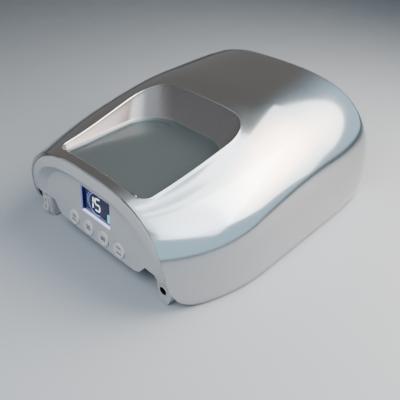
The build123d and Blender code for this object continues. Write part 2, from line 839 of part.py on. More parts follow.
# Base rails: a flat strip along each side, which carries the lining, the cover and the rear feet
rail_front = 22.5
rail_inner_front = 66.0
rail_end = liner_end
edge_steps = 8
edge_stations = [rail_front + (rail_end - rail_front) * k / edge_steps for k in range(edge_steps + 1)]
edge_points = [(half_width(s) - skin - side_tuck, at(s)) for s in edge_stations]
for side, word in ((-1, "left"), (1, "right")):
    with BuildPart() as base_rail:
        with BuildSketch(Plane.XY.offset(base_level)):
            with BuildLine():
                edge = Spline([(side * x, y) for x, y in edge_points])
                Polyline(
                    edge @ 1,
                    (side * tunnel_half_width, at(rail_end)),
                    (side * tunnel_half_width, at(liner_front - fit_gap)),
                    (side * rail_inner_front, at(liner_front - fit_gap)),
                    (side * rail_inner_front, at(rail_front)),
                    edge @ 0,
                )
            make_face()
            with Locations(*tower_places, *cover_places):
                Circle(clear_hole, mode=Mode.SUBTRACT)
        extrude(amount=base_wall)
    keep(base_rail, f"base_rail_{word}")

base_screws = screws(
    [(x, -y) for x, y in tower_places], Plane.XY.offset(base_level).rotated((180, 0, 0)), base_wall, 9.0
)
keep(base_screws, "base_screws")
cover_screws = screws(
    [(x, -y) for x, y in cover_places], Plane.XY.offset(base_level).rotated((180, 0, 0)), base_wall, 2.2
)
keep(cover_screws, "cover_screws")

# Service cover: a hat-shaped lid behind the control panel, open below as the finger grip
cover_centre_low = panel_bottom + 0.2
cover_side_low = 27.2
cover_half = 44.0
cover_slope = cover_side_low - cover_centre_low
cover_side = 64.0
cover_flange = 74.0
cover_front = leg_depth + fit_gap
cover_end = liner_front - fit_gap
cover_lip = panel_wall - panel_set + fit_gap + flange_wall + button_travel
flange_set = 8.5           # how far the flanges start behind the cover's front
board_level = 24.0
main_half = 40.0
board_front = 15.0
board_end = 52.0
board_places = [(x, at(s)) for x in (-36.0, 36.0) for s in (20.0, 48.0)]
hat_low = [
    (cover_flange, base_top),
    (cover_side, base_top),
    (cover_side, cover_side_low),
    (cover_half + cover_slope, cover_side_low),
    (cover_half, cover_centre_low),
]
hat_high = [
    (cover_half - 1, cover_centre_low + cover_wall),
    (cover_half + cover_slope - 1, cover_side_low + cover_wall),
    (cover_side + cover_wall, cover_side_low + cover_wall),
    (cover_side + cover_wall, base_top + cover_wall),
    (cover_flange, base_top + cover_wall),
]
hat_left = [(-x, z) for x, z in reversed(hat_high)]
hat = hat_low + [(-x, z) for x, z in reversed(hat_low)] + hat_left + hat_high
with BuildPart() as service_cover:
    extrude(front_view(hat, cover_front), amount=-(cover_end - cover_front))
    with BuildSketch(Plane.XZ.offset(-at(cover_lip))):
        with Locations((0, cover_centre_low + cover_wall / 2)):
            Rectangle(2 * cover_half - 2, cover_wall)
    extrude(amount=-(cover_front - cover_lip))
    with BuildSketch(Plane.XY.offset(cover_centre_low + cover_wall / 2)):
        with Locations(*board_places):
            Circle(boss_radius)
    extrude(amount=board_level - cover_centre_low - cover_wall / 2)
    with BuildSketch(Plane.XY.offset(board_level)):
        with Locations(*board_places):
            Circle(pilot)
    extrude(amount=-5, mode=Mode.SUBTRACT)
    with BuildSketch(Plane.XY.offset(base_top)):
        with Locations(*cover_places):
            Circle(pilot)
        for x in (-cover_flange, cover_flange):
            with Locations((x, at(cover_front))):
                Rectangle(2 * (cover_flange - cover_side - cover_wall), 2 * flange_set)
    extrude(amount=cover_wall, mode=Mode.SUBTRACT)
keep(service_cover, "service_cover")

# Main board on the cover's bosses, with its larger components
board_top = board_level + board_wall
with BuildPart() as main_board:
    with BuildSketch(Plane.XY.offset(board_level)):
        with Locations((0, at((board_front + board_end) / 2))):
            Rectangle(2 * main_half, board_end - board_front)
        with Locations(*board_places):
            Circle(clear_hole, mode=Mode.SUBTRACT)
    extrude(amount=board_wall)
keep(main_board, "main_board")

board_screws = screws(board_places, Plane.XY.offset(board_top), board_wall, 4.5)
keep(board_screws, "board_screws")

socket_height = 7.0
lead_socket_width = 8.0
lead_socket_depth = 6.0
lead_socket_x = 22.0
lead_socket_station = 46.0
socket_places = [(x, at(lead_socket_station)) for x in (-lead_socket_x, 0, lead_socket_x)]
ribbon_station = 20.0
with BuildPart() as board_sockets:
    with BuildSketch(Plane.XY.offset(board_top)):
        with Locations(*socket_places):
            Rectangle(lead_socket_width, lead_socket_depth)
        with Locations((0, at(ribbon_station))):
            Rectangle(ribbon_width + 4, ribbon_socket)
    extrude(amount=socket_height)
keep(board_sockets, "board_sockets")

capacitor_radius = 5.0
capacitor_height = 16.0
capacitor_places = [(x, at(30)) for x in (-26, -13)]
with BuildPart() as capacitors:
    with BuildSketch(Plane.XY.offset(board_top)):
        with Locations(*capacitor_places):
            Circle(capacitor_radius)
    extrude(amount=capacitor_height)
    fillet(capacitors.edges().group_by(Axis.Z)[-1], 0.8)
keep(capacitors, "capacitors")

inductor_size = 12.0
inductor_height = 8.0
with BuildPart() as inductor:
    with BuildSketch(Plane.XY.offset(board_top)):
        with Locations((inductor_size / 2, at(32))):
            Rectangle(inductor_size, inductor_size)
    extrude(amount=inductor_height)
    fillet(inductor.edges().filter_by(Axis.Z), 2.5)
keep(inductor, "inductor")

fin_count = 5
fin_pitch = 4.0
fin_wall = 1.2
fin_height = 13.5
sink_depth = 14.0
sink_plate = 2.5
sink_place = (26, at(32))
with BuildPart() as heat_sink:
    with BuildSketch(Plane.XY.offset(board_top)):
        with Locations(sink_place):
            Rectangle((fin_count - 1) * fin_pitch + fin_wall, sink_depth)
    extrude(amount=sink_plate)
    with BuildSketch(Plane.XY.offset(board_top + sink_plate)):
        with Locations(sink_place):
            with GridLocations(fin_pitch, 1, fin_count, 1):
                Rectangle(fin_wall, sink_depth)
    extrude(amount=fin_height)
keep(heat_sink, "heat_sink")

# Screws of the lamp boards
led_screws = screws(roof_pads, Plane.XY.offset(roof_board_level + board_wall), board_wall, 2.4)
keep(led_screws, "led_screws_roof")
for side, word in ((-1, "left"), (1, "right")):
    outer = side_board_level + board_wall
    if side > 0:
        screw_plane = Plane.YZ.offset(outer)
        group = screws(side_pads, screw_plane, board_wall, 2.4)
    else:
        screw_plane = Plane(origin=(-outer, 0, 0), x_dir=(0, 1, 0), z_dir=(-1, 0, 0))
        group = screws([(y, -z) for y, z in side_pads], screw_plane, board_wall, 2.4)
    keep(group, f"led_screws_{word}")

# Battery pack behind the recess: tray on posts, six round cells and two straps
tray_half = cell_length + 0.5 + 0.4 + tray_wall
tray_rim = 8.0
tray_floor = tray_level + tray_wall
cell_height = tray_floor + 0.2 + cell_radius
cell_stations = [
    tray_front_station + tray_wall + 0.6 + cell_radius + k * cell_row_pitch for k in range(cell_rows)
]
tray_middle = at(tray_front_station + tray_length / 2)
with BuildPart() as battery_tray:
    with BuildSketch(Plane.XY.offset(tray_level)):
        with Locations((0, tray_middle)):
            Rectangle(2 * tray_half, tray_length)
        for x, y in post_places:
            with Locations((x, y)):
                Circle(ear_radius)
            with Locations((x, y + (ear_reach / 2 if y < tray_middle else -ear_reach / 2))):
                Rectangle(2 * ear_radius, ear_reach + 1)
        with Locations(*post_places):
            Circle(clear_hole, mode=Mode.SUBTRACT)
    extrude(amount=tray_wall)
    with BuildSketch(Plane.XY.offset(tray_floor - 0.2)):
        with Locations((0, tray_middle)):
            Rectangle(2 * tray_half, tray_length)
            Rectangle(2 * tray_half - 2 * tray_wall, tray_length - 2 * tray_wall, mode=Mode.SUBTRACT)
    extrude(amount=tray_rim)
    with BuildSketch(Plane.XY.offset(tray_floor - 0.2)):
        for first, second in zip(cell_stations, cell_stations[1:]):
            with Locations((0, at((first + second) / 2))):
                Rectangle(2 * tray_half - 1, 1.0)
    extrude(amount=tray_rim - 1)
keep(battery_tray, "battery_tray")

tray_screws = screws(post_places, Plane.XY.offset(tray_floor), tray_wall, 5.5)
keep(tray_screws, "tray_screws")

with BuildPart() as battery_cells:
    for start in (-cell_length - 0.5, 0.5):
        with BuildSketch(Plane.YZ.offset(start)):
            with Locations(*[(at(s), cell_height) for s in cell_stations]):
                Circle(cell_radius)
        extrude(amount=cell_length)
    fillet(battery_cells.edges().filter_by(GeomType.CIRCLE), 0.8)
keep(battery_cells, "battery_cells")

strap_wall = 0.8
strap_width = 10.0
strap_top = cell_height + cell_radius + fit_gap
strap_near = at(tray_front_station) - fit_gap
strap_far = at(tray_end_station) + fit_gap
with BuildPart() as battery_straps:
    for x in (-cell_length / 2, cell_length / 2):
        with BuildSketch(Plane.YZ.offset(x - strap_width / 2)):
            with BuildLine():
                Polyline(
                    (strap_near, tray_level),
                    (strap_near, strap_top),
                    (strap_far, strap_top),
                    (strap_far, tray_level),
                    (strap_far + strap_wall, tray_level),
                    (strap_far + strap_wall, strap_top + strap_wall),
                    (strap_near - strap_wall, strap_top + strap_wall),
                    (strap_near - strap_wall, tray_level),
                    close=True,
                )
            make_face()
        extrude(amount=strap_width)
keep(battery_straps, "battery_straps")

# Rubber feet: a pad under each leg and a disc under each rail's tall end
rear_foot_radius = 6.0
rear_foot_x = 87.0
rear_foot_station = 204.0
front_foot_width = 7.0
front_foot_depth = 8.0
leg_foot_x = (leg_inner_bottom + leg_foot) / 2
with BuildPart() as rubber_feet:
    with BuildSketch(Plane.XY):
        with Locations(*[(side * leg_foot_x, at(leg_depth / 2)) for side in (-1, 1)]):
            RectangleRounded(front_foot_width, front_foot_depth, 1.5)
    extrude(amount=leg_bottom)
    with BuildSketch(Plane.XY):
        with Locations(*[(side * rear_foot_x, at(rear_foot_station)) for side in (-1, 1)]):
            Circle(rear_foot_radius)
    extrude(amount=base_level)
keep(rubber_feet, "rubber_feet")

# Inner leads: a flat ribbon to the control board and round pairs to switch, inlet and cells
socket_top = board_top + socket_height
lean = radians(panel_lean)
socket_back = chip_wall + board_wall - board_out
ribbon_rise = ribbon_height + ribbon_wall - button_row + socket_back * sin(lean)
ribbon_start = foot_line - panel_set + ribbon_rise * tan(lean) + socket_back * cos(lean) + thread_gap
with BuildPart() as display_ribbon:
    with BuildSketch(Plane.YZ.offset(-ribbon_width / 2)):
        with BuildLine():
            Polyline(
                (ribbon_start, ribbon_height),
                (at(ribbon_station), ribbon_height),
                (at(ribbon_station), socket_top),
                (at(ribbon_station) + ribbon_wall, socket_top),
                (at(ribbon_station) + ribbon_wall, ribbon_height + ribbon_wall),
                (ribbon_start, ribbon_height + ribbon_wall),
                close=True,
            )
        make_face()
    extrude(amount=ribbon_width)
keep(display_ribbon, "display_ribbon")

lead_radius = 1.4
lead_level = 46.0


def lead(points, name):
    """Round pair of wires along straight runs joined by tangent arcs."""
    runs = [(Vector(b) - Vector(a)).length for a, b in zip(points, points[1:])]
    radii = [0.45 * min(a, b) for a, b in zip(runs, runs[1:])]
    with BuildPart() as cable:
        with BuildLine() as route:
            FilletPolyline(*points, radius=radii)
        start = Plane(origin=points[0], z_dir=Vector(points[1]) - Vector(points[0]))
        with BuildSketch(start):
            Circle(lead_radius)
        sweep(path=route.wires()[0])
    keep(cable, name)
    return cable


terminal_end = at(housing_depth + terminal_length)
lead_station = 36.0
for side, name, height, first in (
    (-1, "switch_lead", switch_height, terminal_end + fit_gap),
    (1, "jack_lead", jack_height, at(jack_body + jack_tab + fit_gap)),
):
    lead(
        [
            (side * switch_x, first, height),
            (side * switch_x, at(lead_station), height),
            (side * switch_x, at(lead_station), lead_level),
            (side * lead_socket_x, at(lead_station), lead_level),
            (side * lead_socket_x, at(lead_socket_station), lead_level),
            (side * lead_socket_x, at(lead_socket_station), socket_top),
        ],
        name,
    )
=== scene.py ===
"""Looks of a rechargeable nail lamp: pearly shell, control end, display, hand tunnel and studio."""
from __future__ import annotations

import logging
from dataclasses import dataclass, field
from enum import Enum

import bpy
import numpy as np
from mathutils import Matrix, Vector

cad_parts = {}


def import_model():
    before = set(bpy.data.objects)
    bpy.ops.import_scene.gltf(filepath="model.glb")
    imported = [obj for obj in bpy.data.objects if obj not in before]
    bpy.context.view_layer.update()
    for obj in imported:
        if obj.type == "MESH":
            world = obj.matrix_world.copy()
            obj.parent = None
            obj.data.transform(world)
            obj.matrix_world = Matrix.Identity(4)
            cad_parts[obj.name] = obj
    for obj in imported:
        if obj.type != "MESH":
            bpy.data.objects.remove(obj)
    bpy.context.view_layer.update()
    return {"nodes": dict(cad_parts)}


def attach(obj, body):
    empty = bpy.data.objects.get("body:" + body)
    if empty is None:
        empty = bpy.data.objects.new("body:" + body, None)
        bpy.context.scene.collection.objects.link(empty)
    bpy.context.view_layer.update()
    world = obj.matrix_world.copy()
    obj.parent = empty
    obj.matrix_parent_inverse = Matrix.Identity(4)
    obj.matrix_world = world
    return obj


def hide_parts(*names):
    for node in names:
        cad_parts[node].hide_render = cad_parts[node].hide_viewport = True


log = logging.getLogger("nail_lamp")
MM = 0.001
FOOT_LINE = -110.5
Colour = tuple[float, float, float]
Tree = bpy.types.ShaderNodeTree
Node = bpy.types.ShaderNode
Piece = bpy.types.Object


def station(back: float) -> float:
    """Row Y in millimetres of a place measured back from the foot line."""
    return FOOT_LINE + back


# Meshes
def grid_faces(rows: int, cols: int, ring: bool) -> np.ndarray:
    """Quads of a grid whose points run row by row.

    Args:
        rows: number of rows of points.
        cols: number of points in a row.
        ring: True if the last point of each row joins the first.

    Returns:
        Four point numbers for each quad, turning the same way everywhere.
    """
    c = np.arange(cols if ring else cols - 1)
    r = np.arange(rows - 1)[:, None] * cols
    nxt = (c + 1) % cols
    quads = np.stack([r + c, r + nxt, r + cols + nxt, r + cols + c], axis=-1)
    return quads.reshape(-1, 4)


def piece_from(name: str, points: np.ndarray, faces: list, smooth: bool = True) -> Piece:
    """Make a mesh object at the origin from points in millimetres.

    Args:
        name: the piece's name.
        points: array of shape (n, 3).
        faces: runs of point numbers, one run for each face.
        smooth: True for smooth shading.

    Returns:
        The new object, linked into the scene.
    """
    mesh = bpy.data.meshes.new(name)
    placed = (np.asarray(points, dtype=float) * MM).tolist()
    mesh.from_pydata(placed, [], [list(map(int, f)) for f in faces])
    mesh.update()
    mesh.shade_smooth() if smooth else mesh.shade_flat()
    obj = bpy.data.objects.new(name, mesh)
    bpy.context.scene.collection.objects.link(obj)
    return obj


def rectangle(left: float, foot: float, right: float, top: float) -> np.ndarray:
    """Corners of an upright rectangle, anticlockwise from its lower left."""
    return np.array([(left, foot), (right, foot), (right, top), (left, top)])


# Materials
def fill(new: Node, values: dict) -> None:
    """Set a node's input sockets, each given by its name or number."""
    for key, value in values.items():
        new.inputs[key].default_value = value


def node(tree: Tree, kind: str, values: dict | None = None, **own: object) -> Node:
    """Add a node.

    Args:
        tree: the tree that takes it.
        kind: its type, without the word ShaderNode.
        values: values of its input sockets.
        own: the node's own settings, such as its operation.

    Returns:
        The new node.
    """
    new = tree.nodes.new(f"ShaderNode{kind}")
    for key, value in own.items():
        setattr(new, key, value)
    fill(new, values or {})
    return new


def join(tree: Tree, *links: tuple) -> None:
    """Link nodes; each link names a node, its output, the next node and its input."""
    for source, out, target, into in links:
        tree.links.new(source.outputs[out], target.inputs[into])


class Socket(Enum):
    """Kinds of socket that a shared effect takes and gives."""

    VALUE = "NodeSocketFloat"
    COLOUR = "NodeSocketColor"


class Effects:
    """Shader effects that several finishes share, each a node group with named sockets."""

    @staticmethod
    def _new(name: str, ins: list, outs: list) -> tuple:
        """Start a group and give it its sockets.

        Args:
            name: name of the group.
            ins: (name, Socket, default) of each input.
            outs: (name, Socket) of each output.

        Returns:
            The group, its input node and its output node.
        """
        group = bpy.data.node_groups.new(name, "ShaderNodeTree")
        for label, kind, default in ins:
            socket = group.interface.new_socket(name=label, in_out="INPUT", socket_type=kind.value)
            socket.default_value = default
        for label, kind in outs:
            group.interface.new_socket(name=label, in_out="OUTPUT", socket_type=kind.value)
        return group, group.nodes.new("NodeGroupInput"), group.nodes.new("NodeGroupOutput")

    @staticmethod
    def grain() -> Tree:
        """Fine moulded grain: height and roughness from two sizes of noise in object space.

        Returns:
            The group, made the first time that it is asked for.
        """
        if "moulded_grain" in bpy.data.node_groups:
            return bpy.data.node_groups["moulded_grain"]
        ins = [
            ("Scale", Socket.VALUE, 900.0), ("Low", Socket.VALUE, 0.3), ("High", Socket.VALUE, 0.4),
        ]
        outs = [("Height", Socket.VALUE), ("Roughness", Socket.VALUE)]
        g, gin, gout = Effects._new("moulded_grain", ins, outs)
        coord = node(g, "TexCoord")
        fine = node(g, "TexNoise", {"Detail": 3.0})
        wide = node(g, "TexNoise", {"Scale": 22.0})
        span = node(g, "MapRange", {"From Min": 0.3, "From Max": 0.7})
        join(
            g, (coord, "Object", fine, "Vector"), (coord, "Object", wide, "Vector"),
            (gin, "Scale", fine, "Scale"), (wide, "Fac", span, "Value"),
            (gin, "Low", span, "To Min"), (gin, "High", span, "To Max"),
            (fine, "Fac", gout, "Height"), (span, "Result", gout, "Roughness"),
        )
        return g

    @staticmethod
    def drift() -> Tree:
        """Slow drift between two tones over a piece, with fine specks of the second tone.

        Returns:
            The group, made the first time that it is asked for.
        """
        if "tone_drift" in bpy.data.node_groups:
            return bpy.data.node_groups["tone_drift"]
        ins = [
            ("Tone", Socket.COLOUR, (0.5, 0.5, 0.5, 1)),
            ("Second", Socket.COLOUR, (0.4, 0.4, 0.4, 1)),
            ("Scale", Socket.VALUE, 18.0), ("Specks", Socket.VALUE, 0.15),
        ]
        g, gin, gout = Effects._new("tone_drift", ins, [("Colour", Socket.COLOUR)])
        coord = node(g, "TexCoord")
        slow = node(g, "TexNoise", {"Detail": 1.5})
        speck = node(g, "TexNoise", {"Scale": 2400.0, "Detail": 1.0})
        share = node(g, "Math", operation="MULTIPLY_ADD")
        mix = node(g, "Mix", data_type="RGBA")
        join(
            g, (coord, "Object", slow, "Vector"), (coord, "Object", speck, "Vector"),
            (gin, "Scale", slow, "Scale"), (speck, "Fac", share, 0), (gin, "Specks", share, 1),
            (slow, "Fac", share, 2), (share, 0, mix, "Factor"), (gin, "Tone", mix, "A"),
            (gin, "Second", mix, "B"), (mix, "Result", gout, "Colour"),
        )
        return g


@dataclass(frozen=True)
class Finish:
    """A moulded, plated or printed finish with its own tones, gloss and grain."""

    name: str
    tone: Colour
    second: Colour
    low: float = 0.35
    high: float = 0.45
    grain: float = 900.0
    bump: float = 0.03
    metallic: float = 0.0
    coat: float = 0.0
    coat_roughness: float = 0.1
    drift: float = 18.0
    specks: float = 0.1
    transmission: float = 0.0
    glow: Colour | None = None
    glow_power: float = 0.0
    depth: float = 0.0002

    def material(self) -> bpy.types.Material:
        """Build the finish on the Principled shader, with its tones, gloss and grain from groups.

        Returns:
            The material, made the first time that it is asked for.
        """
        if self.name in bpy.data.materials:
            return bpy.data.materials[self.name]
        mat = bpy.data.materials.new(self.name)
        mat.use_nodes = True
        tree = mat.node_tree
        shader = tree.nodes["Principled BSDF"]
        tones = {
            "Tone": (*self.tone, 1.0), "Second": (*self.second, 1.0),
            "Scale": self.drift, "Specks": self.specks,
        }
        tone = node(tree, "Group", tones, node_tree=Effects.drift())
        gloss = {"Scale": self.grain, "Low": self.low, "High": self.high}
        grain = node(tree, "Group", gloss, node_tree=Effects.grain())
        bump = node(tree, "Bump", {"Strength": self.bump, "Distance": self.depth})
        join(
            tree, (tone, "Colour", shader, "Base Color"), (grain, "Roughness", shader, "Roughness"),
            (grain, "Height", bump, "Height"), (bump, "Normal", shader, "Normal"),
        )
        fill(shader, {
            "Metallic": self.metallic, "Coat Weight": self.coat,
            "Coat Roughness": self.coat_roughness, "Transmission Weight": self.transmission,
        })
        if self.glow is not None:
            lit = {"Emission Color": (*self.glow, 1.0), "Emission Strength": self.glow_power}
            fill(shader, lit)
        self.refine(tree, shader)
        return mat

    def refine(self, tree: Tree, shader: Node) -> None:
        """Add what only one finish has; the plain finish adds nothing."""


@dataclass(frozen=True)
class AuroraFinish(Finish):
    """Pearly metallic paint under a clear coat, with a thin film that tints its reflections."""

    film: float = 330.0
    film_ior: float = 1.45

    def refine(self, tree: Tree, shader: Node) -> None:
        """Set the film under the coat."""
        fill(shader, {"Thin Film Thickness": self.film, "Thin Film IOR": self.film_ior})


@dataclass(frozen=True)
class InletFinish(Finish):
    """Light flange of the supply inlet; its bore is painted black as painted shade inside the hole.
    """

    axis: tuple = (0.0736, 0.0, 0.0138)
    bore: float = 0.0033
    blend: float = 0.0001
    painted_bore_shade: Colour = (0.004, 0.004, 0.005)

    def refine(self, tree: Tree, shader: Node) -> None:
        """Paint shade into the bore: darken what lies nearer to the inlet's axis than its bore,
        measured in the row frame.

        Args:
            tree: the material's nodes.
            shader: its Principled shader.
        """
        coord = node(tree, "TexCoord")
        flat = node(tree, "VectorMath", {1: (1.0, 0.0, 1.0)}, operation="MULTIPLY")
        away = node(tree, "VectorMath", {1: self.axis}, operation="DISTANCE")
        ramp = node(tree, "MapRange", {"From Min": self.bore, "From Max": self.bore + self.blend})
        # Painted shade: the bore takes this near-black instead of the flange's tone
        mix = node(tree, "Mix", {"A": (*self.painted_bore_shade, 1)}, data_type="RGBA")
        tree.links.new(shader.inputs["Base Color"].links[0].from_socket, mix.inputs["B"])
        join(
            tree, (coord, "Object", flat, 0), (flat, "Vector", away, 0),
            (away, "Value", ramp, "Value"), (ramp, "Result", mix, "Factor"),
            (mix, "Result", shader, "Base Color"),
        )


@dataclass(frozen=True)
class TableFinish(Finish):
    """Pale table whose far part, out of the camera's view, glows with painted light like a lit
    backdrop.
    """

    near: float = 0.85
    far: float = 1.7
    towards: tuple = (0.966, 0.259, 0.0)
    # Painted light: the far table emits this tint, standing in for light from the room
    painted_glow_tint: Colour = (0.80, 0.90, 0.98)
    painted_glow_power: float = 0.75
    specular: float = 0.15

    def refine(self, tree: Tree, shader: Node) -> None:
        """Raise the painted glow smoothly with the distance towards the bright side of the room.

        Args:
            tree: the material's nodes.
            shader: its Principled shader.
        """
        coord = node(tree, "TexCoord")
        away = node(tree, "VectorMath", {1: self.towards}, operation="DOT_PRODUCT")
        reach = {"From Min": self.near, "From Max": self.far, "To Max": self.painted_glow_power}
        rise = node(tree, "MapRange", reach, interpolation_type="SMOOTHSTEP")
        fill(shader, {"Emission Color": (*self.painted_glow_tint, 1.0), "Specular IOR Level": self.specular})
        join(
            tree, (coord, "Object", away, 0), (away, "Value", rise, "Value"),
            (rise, "Result", shader, "Emission Strength"),
        )


# Each finish gives its name, two tones, low and high roughness, the scale of its grain and its bump
PEARL = AuroraFinish(
    "aurora_shell_paint", (0.52, 0.49, 0.48), (0.46, 0.475, 0.48), 0.11, 0.15, 3000.0, 0.004,
    metallic=1.0, coat=0.5, coat_roughness=0.02, drift=9.0, specks=0.05,
)
# Painted shade: the recess floor and walls are the shell's own paint made darker, standing in for
# the shade inside the recess
RECESS_FLOOR_SHADE = AuroraFinish(
    "recess_floor_painted_shade", (0.096, 0.122, 0.133), (0.086, 0.112, 0.124), 0.18, 0.22, 3000.0, 0.004,
    metallic=0.55, coat=0.2, coat_roughness=0.05, drift=9.0, specks=0.05,
)
# Painted shade on the recess walls: a darker, less metallic copy of the shell's paint
RECESS_WALL_SHADE = Finish(
    "recess_wall_painted_shade", (0.172, 0.168, 0.172), (0.160, 0.158, 0.164), 0.24, 0.29, 3000.0, 0.004,
    metallic=0.45, coat=0.15, drift=9.0, specks=0.0,
)
PANEL = Finish(
    "light_panel_plastic", (0.44, 0.465, 0.50), (0.42, 0.445, 0.48), 0.34, 0.42, 1500.0, 0.02,
)
INLET = InletFinish(
    "inlet_flange", (0.42, 0.445, 0.48), (0.40, 0.425, 0.46), 0.34, 0.42, 1500.0, 0.02,
)
BUTTON = Finish(
    "button_plastic", (0.60, 0.61, 0.635), (0.57, 0.58, 0.61), 0.28, 0.36, 1500.0, 0.015,
)
ROCKER = Finish(
    "rocker_plastic", (0.50, 0.51, 0.535), (0.47, 0.48, 0.51), 0.25, 0.33, 1500.0, 0.015,
)
MARK = Finish("printed_mark", (0.06, 0.065, 0.08), (0.09, 0.095, 0.11), 0.5, 0.6, 2500.0, 0.02)
LENS = Finish(
    "clear_window", (0.96, 0.97, 0.99), (0.94, 0.95, 0.99),
    0.02, 0.05, 800.0, 0.0, transmission=1.0,
)
LCD = Finish(
    "display_glass", (0.006, 0.009, 0.040), (0.012, 0.008, 0.050), 0.12, 0.2, 2500.0, 0.0,
    drift=60.0, glow=(0.03, 0.04, 0.26), glow_power=0.10,
)
LINER = Finish(
    "bright_liner", (0.86, 0.87, 0.88), (0.82, 0.83, 0.85), 0.10, 0.16, 1200.0, 0.01, coat=0.3,
)
BASE = Finish("base_plastic_grey", (0.50, 0.51, 0.53), (0.46, 0.47, 0.49), 0.45, 0.58, 900.0, 0.06)
BOARD = Finish(
    "lacquered_board", (0.80, 0.83, 0.80), (0.74, 0.79, 0.75), 0.3, 0.4, 700.0, 0.05, coat=0.3,
)
BEAD = Finish(
    "bead_dome", (0.90, 0.90, 0.97), (0.84, 0.84, 0.96), 0.08, 0.14, 2000.0, 0.0, coat=0.4,
)
# Dark plastic parts; the same dark also paints shade onto the inlet's steel pin
DARK_PLASTIC_AND_PIN_SHADE = Finish("dark_plastic_and_pin_shade", (0.03, 0.03, 0.035), (0.05, 0.05, 0.055), 0.4, 0.5, 1200.0, 0.04)
STEEL = Finish(
    "pressed_steel", (0.60, 0.61, 0.63), (0.52, 0.53, 0.55), 0.28, 0.4, 1400.0, 0.03, metallic=1.0,
)
SINK = Finish(
    "drawn_aluminium", (0.68, 0.69, 0.71), (0.60, 0.61, 0.63), 0.35, 0.5, 500.0, 0.05, metallic=1.0,
)
CELL = Finish("cell_sleeve", (0.10, 0.28, 0.52), (0.08, 0.24, 0.47), 0.25, 0.35, 900.0, 0.02)
STRAP = Finish("strap_weave", (0.03, 0.03, 0.03), (0.06, 0.06, 0.06), 0.7, 0.85, 1800.0, 0.3)
FOOT = Finish("foot_rubber_dark", (0.05, 0.05, 0.055), (0.08, 0.08, 0.085), 0.65, 0.8, 1300.0, 0.1)
LEAD = Finish("lead_sleeve", (0.42, 0.03, 0.03), (0.35, 0.02, 0.02), 0.35, 0.45, 1500.0, 0.03)
RIBBON = Finish("ribbon_sleeve", (0.55, 0.55, 0.57), (0.50, 0.50, 0.53), 0.4, 0.5, 1500.0, 0.05)
GLOW_WHITE = Finish(
    "lit_segment", (0.9, 0.9, 0.95), (0.85, 0.87, 0.95), glow=(0.86, 0.92, 1.0), glow_power=2.6,
)
GLOW_BLUE = Finish(
    "lit_arc", (0.2, 0.25, 0.8), (0.3, 0.3, 0.85), glow=(0.20, 0.30, 1.0), glow_power=1.1,
)
GLOW_CYAN = Finish(
    "lit_symbol", (0.2, 0.7, 0.8), (0.25, 0.7, 0.85), glow=(0.12, 0.74, 0.92), glow_power=1.0,
)
GLOW_DEEP = Finish(
    "lit_bar", (0.1, 0.5, 0.6), (0.12, 0.5, 0.62), glow=(0.10, 0.50, 0.62), glow_power=0.8,
)
GLOW_EDGE = Finish(
    "lit_window_edge", (0.70, 0.70, 0.92), (0.68, 0.67, 0.93),
    glow=(0.50, 0.52, 1.0), glow_power=1.3,
)
SHADE = Finish("window_shade", (0.006, 0.007, 0.020), (0.008, 0.007, 0.024), 0.3, 0.4, 2500.0, 0.0)
GLOW_SIDE = Finish(
    "dim_window_edge", (0.16, 0.17, 0.50), (0.20, 0.17, 0.50),
    glow=(0.10, 0.11, 0.50), glow_power=0.7,
)

WORN_BY = (
    (PEARL, "outer_shell"), (PANEL, "front_panel switch_housing mouth_frame"), (BUTTON, "button_"),
    (ROCKER, "switch_rocker"), (LENS, "display_lens"), (LCD, "lcd_module"), (LINER, "reflector"),
    (BASE, "base_rail service_cover battery_tray"), (BOARD, "control_board main_board led_board"),
    # jack_pin is a steel pin in the dark finish: painted shade deep inside the inlet
    (BEAD, "led_beads"), (DARK_PLASTIC_AND_PIN_SHADE, "hand_sensors tact_plunger board_sockets inductor jack_pin"),
    (STEEL, "tact_switches switch_terminals capacitors base_screws board_screws cover_screws"),
    (STEEL, "led_screws panel_screws tray_screws"), (INLET, "dc_jack"), (SINK, "heat_sink"),
    (CELL, "battery_cells"), (STRAP, "battery_straps"), (FOOT, "rubber_feet"),
    (LEAD, "switch_lead jack_lead"), (RIBBON, "display_ribbon"),
)
# The finish of each node, by the words that its name starts with
NODE_FINISH = {start: finish for finish, starts in WORN_BY for start in starts.split()}


def dress(obj: Piece, finish: Finish) -> None:
    """Give a piece or a node one finish all over."""
    obj.data.materials.clear()
    obj.data.materials.append(finish.material())


